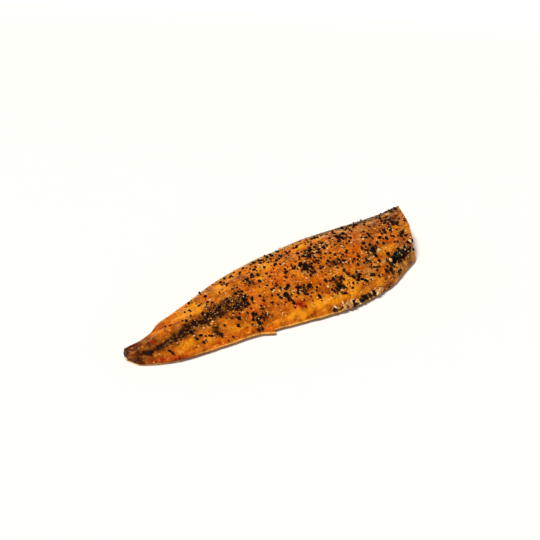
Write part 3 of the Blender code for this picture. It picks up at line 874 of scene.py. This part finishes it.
def liningTop(a, b, drop=0.0):
    # lies in the slot with torn edges, creased along its middle
    u = lining["start"] + (lining["end"] - lining["start"]) * a
    middle = np.sin(math.pi * np.clip(a * lining["taper"], 0, 1)) ** 0.6
    narrow = lining["endShare"] + (1 - lining["endShare"]) * middle
    bellySide, backSide = (softNoise(u, 0.0 * u, size, seed)
                           for size, seed in zip(lining["tornSizes"], (97, 99)))
    torn = lining["torn"] * (bellySide * (1 - b) + backSide * b)
    v = alongCurve(form["slotLine"], u) + (2 * b - 1) * (lining["halfWidth"] * narrow + torn)
    x, y = plan(u, v)
    crease = layeredNoise(x / lining["creaseLength"], y, lining["creaseSize"], 91)
    crinkle = layeredNoise(x / lining["crinkleLength"], y, lining["crinkleSize"], 95)
    folds = lining["crease"] * crease + lining["crinkle"] * crinkle
    z = (upperHeight(u, v) + fineRelief(u, v, x, y) * lining["relief"] + lining["lift"] - drop
         + folds * np.sin(math.pi * b) ** 0.5)
    return np.stack([x, y, z], axis=-1) + shift


def liningBottom(a, b):
    return liningTop(a, b, lining["thickness"])


def liningRim(t, a, b, first, last):
    return np.zeros(len(a))


liningPiece = closedLoft("bellyLining", liningTop, liningBottom, True, lining, liningRim)[0]
print("lining made,", len(liningPiece.data.polygons), "faces")


# Materials

# a wave texture repeats every 0.314 of its own units
waveRepeat = 0.314

meatLook = dict(
    base=[(0.30, "9c5210"), (0.46, "c66a12"), (0.58, "d27a18"), (0.70, "e0902e")],
    patternMm=9.0, fibreMm=1.1, fibre=(0.78, 1.16), glossMm=3.0, grainMm=0.8,
    # layers on the cut face: spacing, how dark they get, and where their flat arcs are centred
    layerMm=3.2, layerTone=(0.80, 1.02), layerCentre=(0.0, -0.006, -0.002),
    layerSquash=(0.30, 0.34, 1.0),
    # tints laid over the base where a field is strong: colour, pattern in mm, from, to
    tints=dict(
        orange=("d0620a", 5.0, 0.72, 1.45), golden=("ea9a1c", 4.0, 0.72, 1.35),
        pale=("dca65a", 3.0, 0.75, 1.40), brown=("6e3212", 3.0, 0.75, 1.40),
        smear=("7a4018", 2.4, 0.80, 1.50), soot=("24110a", 1.4, 0.90, 1.35),
        furrowSide=("7c4416", 2.2, 0.80, 1.40), furrow=("3a1a10", 1.6, 0.90, 1.30),
        red=("b83a08", 2.0, 0.80, 1.45),
        flap=("c4842e", 2.0, 0.75, 1.15), flapDark=("7c4a20", 2.0, 0.85, 1.35),
        stripTan=("b48c48", 2.2, 0.75, 1.30), strip=("48361a", 2.0, 0.80, 1.45),
        # the pale tint on the tops of the relief is a painted highlight, and the dark one in its
        # dips is painted shade
        paintedCrestHighlight=("f2b452", 1.5, 0.85, 1.60), paintedHollowShade=("8c3e0c", 1.4, 0.85, 1.60),
        # the golden rim tint is a painted highlight along the rounded edges
        rimGoldHighlight=("f2c068", 2.0, 0.85, 1.45), charredAndRidgeShadow=("1c100a", 2.0, 0.80, 1.30),
        cut=("c49660", 2.5, 0.70, 1.30), cutDark=("663a20", 1.5, 0.85, 1.35)),
    # size in mm, how much darker at the darkest, then colour and share of the lightest
    mottles=[(1.5, 0.76, "eeaa46", 0.30), (4.2, 0.66, "f0a030", 0.40)],
    # specks of spice: colour, spacing in mm, reach in cells, share of the cells
    specks=[("eec07a", 1.6, 0.26, 0.20), ("3a1c0c", 1.3, 0.24, 0.22)],
    speckCore=0.6,                  # full colour within this share of the reach
    roughness=(0.34, 0.55), specular=0.10, coat=0.16, coatRoughness=0.08,
)

# where the tints lie: (u, v, reach in u, reach in v, strength)
tintPlaces = dict(
    orange=[(0.38, 0.45, 0.035, 0.09, 1.0), (0.41, 0.63, 0.035, 0.06, 1.0),
            (0.64, 0.40, 0.045, 0.10, 0.8), (0.48, 0.84, 0.035, 0.12, 0.8),
            (0.29, 0.45, 0.015, 0.20, 0.7), (0.265, 0.28, 0.015, 0.07, 0.8),
            (0.87, 0.31, 0.035, 0.05, 0.7), (0.82, 0.38, 0.040, 0.03, 0.8),
            (0.73, 0.24, 0.020, 0.04, 0.7), (0.46, 0.30, 0.040, 0.03, 0.7),
            (0.17, 0.05, 0.070, 0.05, 0.9), (0.30, 0.03, 0.060, 0.04, 0.8),
            (0.40, 0.16, 0.025, 0.06, 0.6)],
    golden=[(0.16, 0.75, 0.040, 0.20, 0.9), (0.25, 0.75, 0.025, 0.12, 0.9),
            (0.39, 0.74, 0.035, 0.10, 1.0), (0.35, 0.58, 0.020, 0.06, 0.7),
            (0.45, 0.10, 0.050, 0.06, 1.0), (0.35, 0.06, 0.060, 0.04, 0.7),
            (0.56, 0.18, 0.020, 0.07, 0.9), (0.55, 0.08, 0.060, 0.03, 0.8),
            (0.80, 0.28, 0.060, 0.04, 1.1), (0.68, 0.06, 0.040, 0.05, 0.7),
            (0.09, 0.22, 0.030, 0.10, 0.8), (0.22, 0.11, 0.050, 0.05, 0.5),
            (0.95, 0.42, 0.025, 0.10, 0.5), (0.54, 0.80, 0.030, 0.07, 0.9),
            (0.30, 0.86, 0.050, 0.06, 0.8)],
    pale=[(0.61, 0.82, 0.035, 0.08, 0.8), (0.69, 0.78, 0.030, 0.07, 0.8),
          (0.66, 0.17, 0.040, 0.06, 0.7), (0.75, 0.19, 0.020, 0.03, 0.9),
          (0.89, 0.20, 0.030, 0.02, 1.0), (0.46, 0.41, 0.020, 0.03, 0.6),
          (0.76, 0.68, 0.030, 0.06, 0.6), (0.37, 0.34, 0.015, 0.02, 0.8),
          (0.15, 0.33, 0.010, 0.10, 0.6), (0.21, 0.48, 0.012, 0.05, 0.8)],
    brown=[(0.56, 0.38, 0.050, 0.06, 1.0), (0.58, 0.67, 0.030, 0.09, 0.8),
           (0.46, 0.76, 0.020, 0.14, 0.7), (0.32, 0.78, 0.020, 0.12, 0.7),
           (0.28, 0.68, 0.012, 0.06, 0.6), (0.80, 0.53, 0.050, 0.03, 0.8),
           (0.90, 0.66, 0.040, 0.12, 0.9), (0.96, 0.85, 0.040, 0.14, 0.9),
           (0.74, 0.36, 0.030, 0.04, 0.5), (0.23, 0.86, 0.014, 0.08, 0.6),
           (0.00, 0.50, 0.040, 0.60, 1.2), (0.97, 0.25, 0.030, 0.08, 0.4),
           (0.60, 0.93, 0.060, 0.04, 0.6), (0.64, 0.50, 0.030, 0.04, 0.3),
           # the four entries with v 0 are painted shade, a darker brown band along the belly edge
           (0.56, 0.00, 0.110, 0.035, 1.1), (0.72, 0.00, 0.040, 0.035, 0.8),
           (0.91, 0.00, 0.070, 0.035, 0.8), (0.06, 0.00, 0.070, 0.035, 0.7),
           (0.80, 0.66, 0.045, 0.08, 0.9), (0.90, 0.60, 0.040, 0.06, 0.6),
           (0.03, 0.72, 0.030, 0.25, 0.9), (0.93, 0.64, 0.035, 0.08, 0.8)],
    red=[(0.035, 0.03, 0.030, 0.05, 0.9), (0.08, 0.02, 0.040, 0.03, 0.6),
         (0.38, 0.14, 0.018, 0.055, 1.1), (0.045, 0.60, 0.005, 0.10, 0.8),
         (0.57, 0.245, 0.010, 0.03, 0.8), (0.60, 0.30, 0.008, 0.03, 0.6),
         (0.085, 0.82, 0.008, 0.12, 0.7), (0.101, 0.70, 0.007, 0.07, 0.7)],
    flapDark=[(0.94, 0.05, 0.040, 0.08, 0.9), (0.80, 0.01, 0.120, 0.015, 0.5),
              (0.86, 0.11, 0.100, 0.01, 0.6)],
    charredAndRidgeShadow=[(0.000, 0.85, 0.003, 0.20, 0.8), (0.020, 0.99, 0.022, 0.035, 1.3),
             (0.000, 0.15, 0.007, 0.20, 0.7), (0.07, 1.00, 0.020, 0.02, 0.6),
             # the last entry is a painted shadow: a dark line along the torn ridge of belly wall;
             # the others are dark smoked meat
             (0.022, 0.45, 0.008, 0.10, 0.6), (0.52, 0.112, 0.025, 0.008, 0.6)],
)


def tintField(places, u, v):
    total = np.zeros(len(u))
    for placeU, placeV, reachU, reachV, strength in places:
        away = np.hypot((u - placeU) / reachU, (v - placeV) / reachV)
        total += strength * bell(away, 0.0, 1.0)
    return np.clip(total, 0, 1.2)


def patchField(x, y, reach, least):
    # strong in the pepper patches that have at least that extra weight
    total = np.zeros_like(x)
    for patchX, patchY, radius, extra in patchCentres:
        if extra >= least:
            away = np.hypot(x - patchX, y - patchY)
            total += extra / heaviestPatch * bell(away, 0.0, radius * reach)
    return np.clip(total, 0, 1)


def fibredGround(tree, place):
    # cloudy amber, streaked along the fish by its fibres
    stretched = addNode(tree, "ShaderNodeMapping", {"Scale": (0.5, 1.0, 1.0)},
                        {"Vector": (place, "Object")})
    cloud = addNode(tree, "ShaderNodeTexNoise",
                    {"Scale": perMm(meatLook["patternMm"]), "Detail": 5.0, "Roughness": 0.62,
                     "Distortion": 0.5}, {"Vector": (stretched, "Vector")})
    base = addNode(tree, "ShaderNodeValToRGB", None, {"Fac": (cloud, "Fac")}, meatLook["base"])
    streakPlace = addNode(tree, "ShaderNodeMapping", {"Scale": (0.14, 1.0, 1.0)},
                          {"Vector": (place, "Object")})
    streak = addNode(tree, "ShaderNodeTexNoise",
                     {"Scale": perMm(meatLook["fibreMm"]), "Detail": 2.0},
                     {"Vector": (streakPlace, "Vector")})
    streakTone = addNode(tree, "ShaderNodeMapRange",
                         {"From Min": 0.3, "From Max": 0.7, "To Min": meatLook["fibre"][0],
                          "To Max": meatLook["fibre"][1]}, {"Value": (streak, "Fac")})
    ground = addNode(tree, "ShaderNodeMix", {0: 1.0}, {6: (base, "Color"),
                     7: (streakTone, "Result")}, data_type="RGBA", blend_type="MULTIPLY")
    return ground, streak


def tinted(tree, place, colour):
    # each tint is laid over the last one, with its border broken up by noise
    broken = {}
    for fieldName, (hexCode, patternMm, low, high) in meatLook["tints"].items():
        field = addNode(tree, "ShaderNodeAttribute", attribute_name=fieldName)
        if patternMm not in broken:
            broken[patternMm] = addNode(
                tree, "ShaderNodeTexNoise", {"Scale": perMm(patternMm), "Detail": 3.0},
                {"Vector": (place, "Object")})
        total = addNode(tree, "ShaderNodeMath", None,
                        {0: (field, "Fac"), 1: (broken[patternMm], "Fac")}, operation="ADD")
        factor = addNode(tree, "ShaderNodeMapRange", {"From Min": low, "From Max": high},
                         {"Value": (total, "Value")})
        colour = addNode(tree, "ShaderNodeMix", {7: linearColour(hexCode)},
                         {0: (factor, "Result"), 6: (colour, 2)}, data_type="RGBA")
    return colour


def mottled(tree, place, colour):
    # small darker and lighter spots all over
    for sizeMm, darkest, lightHex, share in meatLook["mottles"]:
        mottle = addNode(tree, "ShaderNodeTexNoise",
                         {"Scale": perMm(sizeMm), "Detail": 3.0, "Roughness": 0.6},
                         {"Vector": (place, "Object")})
        tone = addNode(tree, "ShaderNodeMapRange",
                       {"From Min": 0.34, "From Max": 0.52, "To Min": darkest},
                       {"Value": (mottle, "Fac")})
        darker = addNode(tree, "ShaderNodeMix", {0: 1.0}, {6: (colour, 2), 7: (tone, "Result")},
                         data_type="RGBA", blend_type="MULTIPLY")
        lift = addNode(tree, "ShaderNodeMapRange",
                       {"From Min": 0.52, "From Max": 0.70, "To Max": share},
                       {"Value": (mottle, "Fac")})
        colour = addNode(tree, "ShaderNodeMix", {7: linearColour(lightHex)},
                         {0: (lift, "Result"), 6: (darker, 2)}, data_type="RGBA")
    return colour


def layeredCut(tree, place, colour, cutField):
    # layers of flakes, which lie in flat arcs where the head end is cut
    arcs = addNode(tree, "ShaderNodeMapping",
                   {"Location": meatLook["layerCentre"], "Scale": meatLook["layerSquash"]},
                   {"Vector": (place, "Object")})
    layers = addNode(tree, "ShaderNodeTexWave",
                     {"Scale": perMm(meatLook["layerMm"]) * waveRepeat, "Distortion": 5.5,
                      "Detail": 3.0, "Detail Scale": 1.6, "Detail Roughness": 0.6},
                     {"Vector": (arcs, "Vector")}, wave_type="RINGS", rings_direction="X")
    layerTone = addNode(tree, "ShaderNodeMapRange",
                        {"From Max": 0.30, "To Min": meatLook["layerTone"][0],
                         "To Max": meatLook["layerTone"][1]}, {"Value": (layers, "Fac")})
    return addNode(tree, "ShaderNodeMix", None,
                   {0: (cutField, "Fac"), 6: (colour, 2), 7: (layerTone, "Result")},
                   data_type="RGBA", blend_type="MULTIPLY")


def specked(tree, place, colour, cutField):
    # specks of spice, everywhere but on the cut face
    uncut = addNode(tree, "ShaderNodeMapRange", {"To Min": 1.0, "To Max": 0.0},
                    {"Value": (cutField, "Fac")})
    for hexCode, spacingMm, reach, share in meatLook["specks"]:
        cells = addNode(tree, "ShaderNodeTexVoronoi", {"Scale": perMm(spacingMm)},
                        {"Vector": (place, "Object")})
        near = addNode(tree, "ShaderNodeMapRange",
                       {"From Min": reach, "From Max": reach * meatLook["speckCore"]},
                       {"Value": (cells, "Distance")})
        number = addNode(tree, "ShaderNodeSeparateColor", None, {"Color": (cells, "Color")})
        picked = addNode(tree, "ShaderNodeMath", {1: share}, {0: (number, "Red")},
                         operation="LESS_THAN")
        mask = uncut
        for part, output in ((near, "Result"), (picked, "Value")):
            mask = addNode(tree, "ShaderNodeMath", None,
                           {0: (mask, 0), 1: (part, output)}, operation="MULTIPLY")
        colour = addNode(tree, "ShaderNodeMix", {7: linearColour(hexCode)},
                         {0: (mask, "Value"), 6: (colour, 2)}, data_type="RGBA")
    return colour


def oiledSurface(tree, place, shader, streak):
    # oilier and drier patches, then the fibres and the fine grain of the surface
    gloss = addNode(tree, "ShaderNodeTexNoise",
                    {"Scale": perMm(meatLook["glossMm"]), "Detail": 2.0},
                    {"Vector": (place, "Object")})
    rough = addNode(tree, "ShaderNodeMapRange",
                    {"From Min": 0.3, "From Max": 0.7, "To Min": meatLook["roughness"][0],
                     "To Max": meatLook["roughness"][1]}, {"Value": (gloss, "Fac")})
    tree.links.new(rough.outputs["Result"], shader.inputs["Roughness"])
    grainy = addNode(tree, "ShaderNodeTexNoise",
                     {"Scale": perMm(meatLook["grainMm"]), "Detail": 3.0},
                     {"Vector": (place, "Object")})
    fibreBump = addNode(tree, "ShaderNodeBump", {"Strength": 0.5, "Distance": 0.0003},
                        {"Height": (streak, "Fac")})
    bump = addNode(tree, "ShaderNodeBump", {"Strength": 0.8, "Distance": 0.00035},
                   {"Height": (grainy, "Fac"), "Normal": (fibreBump, "Normal")})
    tree.links.new(bump.outputs["Normal"], shader.inputs["Normal"])
    tree.links.new(bump.outputs["Normal"], shader.inputs["Coat Normal"])


def smokedFishMeat():
    # hot-smoked oily fish: amber meat with a thin glaze of oil, browner where the rub was thick
    material, tree, shader = newMaterial(
        "hot smoked mackerel meat", IOR=1.36, Specular_IOR_Level=meatLook["specular"],
        Coat_Weight=meatLook["coat"], Coat_Roughness=meatLook["coatRoughness"], Coat_IOR=1.40,
        Subsurface_Weight=0.06, Subsurface_Radius=(1.0, 0.45, 0.15), Subsurface_Scale=0.0012)
    place = addNode(tree, "ShaderNodeTexCoord")
    cutField = addNode(tree, "ShaderNodeAttribute", attribute_name="cut")
    colour, streak = fibredGround(tree, place)
    colour = tinted(tree, place, colour)
    colour = mottled(tree, place, colour)
    colour = layeredCut(tree, place, colour, cutField)
    colour = specked(tree, place, colour, cutField)
    tree.links.new(colour.outputs[2], shader.inputs["Base Color"])
    oiledSurface(tree, place, shader, streak)
    return material


skinLook = dict(
    ground=[(0.32, "94703a"), (0.50, "b48c4a"), (0.68, "bfae86")],
    back="4d4a2e", bar="141a17", edge="d8a860", cloudMm=9.0, barSpacingMm=5.2, scaleMm=0.9,
    barTurn=24, blotTurn=18,                # degrees
    # shares of the width where the bars, the dark back and the golden edge fade in, then how far
    barsFrom=(0.50, 0.78, 1.0), backFrom=(0.66, 0.92, 1.0), edgeFrom=(0.16, 0.06, 0.95),
)


def skinBars(tree, place):
    # wavy bars, broken up by blots
    turned = addNode(tree, "ShaderNodeMapping",
                     {"Rotation": (0.0, 0.0, math.radians(skinLook["barTurn"])),
                      "Scale": (1.0, 0.55, 0.55)}, {"Vector": (place, "Object")})
    bars = addNode(tree, "ShaderNodeTexWave",
                   {"Scale": perMm(skinLook["barSpacingMm"]) * waveRepeat, "Distortion": 12.0,
                    "Detail": 2.5, "Detail Scale": 0.9, "Detail Roughness": 0.6},
                   {"Vector": (turned, "Vector")}, wave_type="BANDS", bands_direction="X")
    uneven = addNode(tree, "ShaderNodeMapping",
                     {"Rotation": (0.0, 0.0, math.radians(skinLook["blotTurn"])),
                      "Scale": (1.0, 0.35, 0.35)}, {"Vector": (place, "Object")})
    blots = addNode(tree, "ShaderNodeTexNoise",
                    {"Scale": perMm(skinLook["barSpacingMm"]), "Detail": 2.0, "Distortion": 0.8},
                    {"Vector": (uneven, "Vector")})
    return addNode(tree, "ShaderNodeMix", {0: 0.62}, {2: (bars, "Fac"), 3: (blots, "Fac")},
                   data_type="FLOAT")


def smokedFishSkin():
    # thin skin, gilded by smoke over silver; dark wavy bars on the back half
    material, tree, shader = newMaterial(
        "smoked mackerel skin", IOR=1.5, Roughness=0.34, Metallic=0.35, Coat_Weight=0.3,
        Coat_Roughness=0.2)
    place = addNode(tree, "ShaderNodeTexCoord")
    across = addNode(tree, "ShaderNodeAttribute", attribute_name="across")
    cloud = addNode(tree, "ShaderNodeTexNoise",
                    {"Scale": perMm(skinLook["cloudMm"]), "Detail": 3.0},
                    {"Vector": (place, "Object")})
    ground = addNode(tree, "ShaderNodeValToRGB", None, {"Fac": (cloud, "Fac")},
                     skinLook["ground"])
    barred, shade, edge = (
        addNode(tree, "ShaderNodeMapRange", {"From Min": start, "From Max": end, "To Max": most},
                {"Value": (across, "Fac")})
        for start, end, most in (skinLook[key] for key in ("barsFrom", "backFrom", "edgeFrom")))
    mask = addNode(tree, "ShaderNodeMath", None,
                   {0: (skinBars(tree, place), 0), 1: (barred, "Result")}, operation="MULTIPLY")
    factor = addNode(tree, "ShaderNodeMapRange", {"From Min": 0.44, "From Max": 0.54},
                     {"Value": (mask, "Value")})
    colour, output = ground, "Color"
    for name, cover in (("back", shade), ("bar", factor), ("edge", edge)):
        colour = addNode(tree, "ShaderNodeMix", {7: linearColour(skinLook[name])},
                         {0: (cover, "Result"), 6: (colour, output)}, data_type="RGBA")
        output = 2
    tree.links.new(colour.outputs[output], shader.inputs["Base Color"])
    scales = addNode(tree, "ShaderNodeTexVoronoi", {"Scale": perMm(skinLook["scaleMm"])},
                     {"Vector": (place, "Object")})
    bump = addNode(tree, "ShaderNodeBump", {"Strength": 0.3, "Distance": 0.0001},
                   {"Height": (scales, "Distance")})
    tree.links.new(bump.outputs["Normal"], shader.inputs["Normal"])
    return material


grainLook = dict(
    # colours from the darkest grains to the lightest, then roughness from and to
    black=([(0.20, "080302"), (0.60, "160904"), (0.92, "40200c")], 0.50, 0.80),
    pale=([(0.15, "a86e38"), (0.50, "dcac70"), (0.80, "f6dcae")], 0.35, 0.60),
    ground=([(0.15, "200e06"), (0.42, "6a3410"), (0.58, "c88a46"), (0.85, "f4d09a")], 0.5, 0.8),
    chilli=([(0.15, "5c1804"), (0.50, "a03408"), (0.85, "cc5410")], 0.35, 0.55),
    wrinkleMm=0.45,
)


def grainMaterial(name, kind, coat):
    # dry cracked spice: wrinkled and almost matt, each grain with its own shade
    stops, smooth, rough = grainLook[kind]
    material, tree, shader = newMaterial(name, IOR=1.45, Specular_IOR_Level=0.2,
                                         Coat_Weight=coat, Coat_Roughness=0.2)
    place = addNode(tree, "ShaderNodeTexCoord")
    tone = addNode(tree, "ShaderNodeAttribute", attribute_name="tone")
    wrinkle = addNode(tree, "ShaderNodeTexNoise",
                      {"Scale": perMm(grainLook["wrinkleMm"]), "Detail": 3.0},
                      {"Vector": (place, "Object")})
    mixed = addNode(tree, "ShaderNodeMix", {0: 0.4}, {2: (tone, "Fac"), 3: (wrinkle, "Fac")},
                    data_type="FLOAT")
    colour = addNode(tree, "ShaderNodeValToRGB", None, {"Fac": (mixed, 0)}, stops)
    tree.links.new(colour.outputs["Color"], shader.inputs["Base Color"])
    spread = addNode(tree, "ShaderNodeMapRange", {"To Min": smooth, "To Max": rough},
                     {"Value": (wrinkle, "Fac")})
    tree.links.new(spread.outputs["Result"], shader.inputs["Roughness"])
    bump = addNode(tree, "ShaderNodeBump", {"Strength": 0.35, "Distance": 0.00012},
                   {"Height": (wrinkle, "Fac")})
    tree.links.new(bump.outputs["Normal"], shader.inputs["Normal"])
    return material


liningLook = dict(
    # near black, then the silvery streaks, which are painted highlights
    colours=[(0.50, "020202"), (0.62, "070907"), (0.66, "5a5844"), (0.70, "cec8a8")],
    patternMm=1.1, patternSquash=0.12, roughness=(0.5, 0.7),
)


def blackBellyLining():
    # thin wet skin: near black, with silvery green patches stretched along the fish, which are
    # painted highlights, glints on the wet skin
    material, tree, shader = newMaterial(
        "black belly lining", IOR=1.45, Specular_IOR_Level=0.03, Coat_Weight=0.22,
        Coat_Roughness=0.10)
    place = addNode(tree, "ShaderNodeTexCoord")
    stretched = addNode(tree, "ShaderNodeMapping",
                        {"Scale": (liningLook["patternSquash"], 1.0, 1.0)},
                        {"Vector": (place, "Object")})
    patches = addNode(tree, "ShaderNodeTexNoise",
                      {"Scale": perMm(liningLook["patternMm"]), "Detail": 4.0},
                      {"Vector": (stretched, "Vector")})
    colour = addNode(tree, "ShaderNodeValToRGB", None, {"Fac": (patches, "Fac")},
                     liningLook["colours"])
    tree.links.new(colour.outputs["Color"], shader.inputs["Base Color"])
    rough = addNode(tree, "ShaderNodeMapRange",
                    {"To Min": liningLook["roughness"][0], "To Max": liningLook["roughness"][1]},
                    {"Value": (patches, "Fac")})
    tree.links.new(rough.outputs["Result"], shader.inputs["Roughness"])
    return material


fieldLook = dict(
    # round the pepper patches: strength, reach, least extra weight of a patch
    patches=dict(smear=(0.55, 1.25, 4.0), soot=(0.85, 0.80, 6.0)),
    # along the furrow: strength and half width, then where it starts and ends
    furrows=dict(furrowSide=(0.90, 0.200), furrow=(1.05, 0.110)),
    furrowStart=(0.02, 0.05), furrowEnd=(0.24, 0.31),
    flapAcross=(0.095, 0.12), flapSpan=(0.73, 1.10), flapBlur=0.06,
    # the strip of skin and dark meat along the back edge, tan first, then brown
    stripLine=[(0.00, 0.97), (0.30, 0.955), (0.45, 0.93), (0.60, 0.89), (0.68, 0.88),
               (0.76, 0.80), (0.86, 0.80), (0.93, 0.87), (1.00, 0.90)],
    stripBlur=0.04, strips=dict(stripTan=(0.10, 0.25), strip=(0.48, 0.70)),
    # heights of the relief that are painted lighter, a painted highlight on its tops, and depths
    # that are painted darker, painted shade in its dips
    reliefs=dict(paintedCrestHighlight=(0.00005, 0.00060), paintedHollowShade=(-0.00010, -0.00065)),
    # golden edges, lighter lines along the rounded rims that are painted highlights: across, half
    # width, strength, span and blur along the fish
    rims=[(0.0, 0.007, 0.85, (0.05, 0.68), 0.08), (1.0, 0.012, 0.80, (0.12, 0.40), 0.05)],
    rimDepth=0.4, cutDepth=0.22,
    # dark meat on the cut face: strength, across, half width, depths; then a line by the skin
    darkMeat=(0.9, 0.55, 0.10, (0.45, 0.85)), skinLine=(0.7, (0.80, 1.0)),
)


def meatFields(u, v, depth):
    # how strong each tint of the meat is at every point
    look = fieldLook
    x, y = plan(u, v)
    fields = {name: tintField(places, u, v) for name, places in tintPlaces.items()}
    for name, (strength, reach, least) in look["patches"].items():
        fields[name] = strength * patchField(x, y, reach, least)
    ends = (1 - fade(u, *look["furrowEnd"])) * fade(u, *look["furrowStart"])
    for name, (strength, width) in look["furrows"].items():
        fields[name] = strength * ends * bell(v, alongCurve(form["furrowLine"], u), width)
    fields["flap"] = ((1 - fade(v, *look["flapAcross"]))
                      * window(u, look["flapSpan"], look["flapBlur"]))
    line = alongCurve(look["stripLine"], u)
    onStrip = fade(v, line - look["stripBlur"], line + look["stripBlur"])
    for name, span in look["strips"].items():
        fields[name] = onStrip * fade(u, *span)
    # tops of the fine relief get a painted highlight, its dips painted shade
    fine = np.where(depth > 0, 0, fineRelief(u, v, x, y))
    for name, heights in look["reliefs"].items():
        fields[name] = fade(fine, *heights)
    # a lighter golden line along both rounded edges: painted highlights
    belly, back = (strength * bell(v, across, width) * window(u, span, blur)
                   for across, width, strength, span, blur in look["rims"])
    fields["rimGoldHighlight"] = belly * (depth < look["rimDepth"]) + back
    cutEnd = (depth > 0) * (u > 0.999)
    fields["cut"] = cutEnd * fade(depth, 0.0, look["cutDepth"])
    strength, across, width, depths = look["darkMeat"]
    dark = strength * bell(v, across, width) * fade(depth, *depths)
    strength, depths = look["skinLine"]
    fields["cutDark"] = cutEnd * (dark + strength * fade(depth, *depths))
    return fields


for name, values in meatFields(meatU, meatV, meatDepth).items():
    addField(meatPiece, name, values)
addField(skinPiece, "across", skinPlaces[1])
print("tints laid")

for piece, slotName, material in (
    (meatPiece, "smoked_flesh", smokedFishMeat()),
    (skinPiece, "smoked_skin", smokedFishSkin()),
    (liningPiece, "smoked_skin", blackBellyLining()),
    (blackPiece, "black_pepper", grainMaterial("cracked black peppercorn husk", "black", 0.04)),
    (palePiece, "pale_pepper", grainMaterial("broken peppercorn core", "pale", 0.05)),
    (dustPiece, "black_pepper", grainMaterial("ground pepper and spice", "ground", 0.0)),
    (chilliPiece, "chilli", grainMaterial("crushed red chilli", "chilli", 0.05)),
):
    piece.data.materials.append(material)
    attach(piece, "root")
    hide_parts("fillet")
print("materials made")
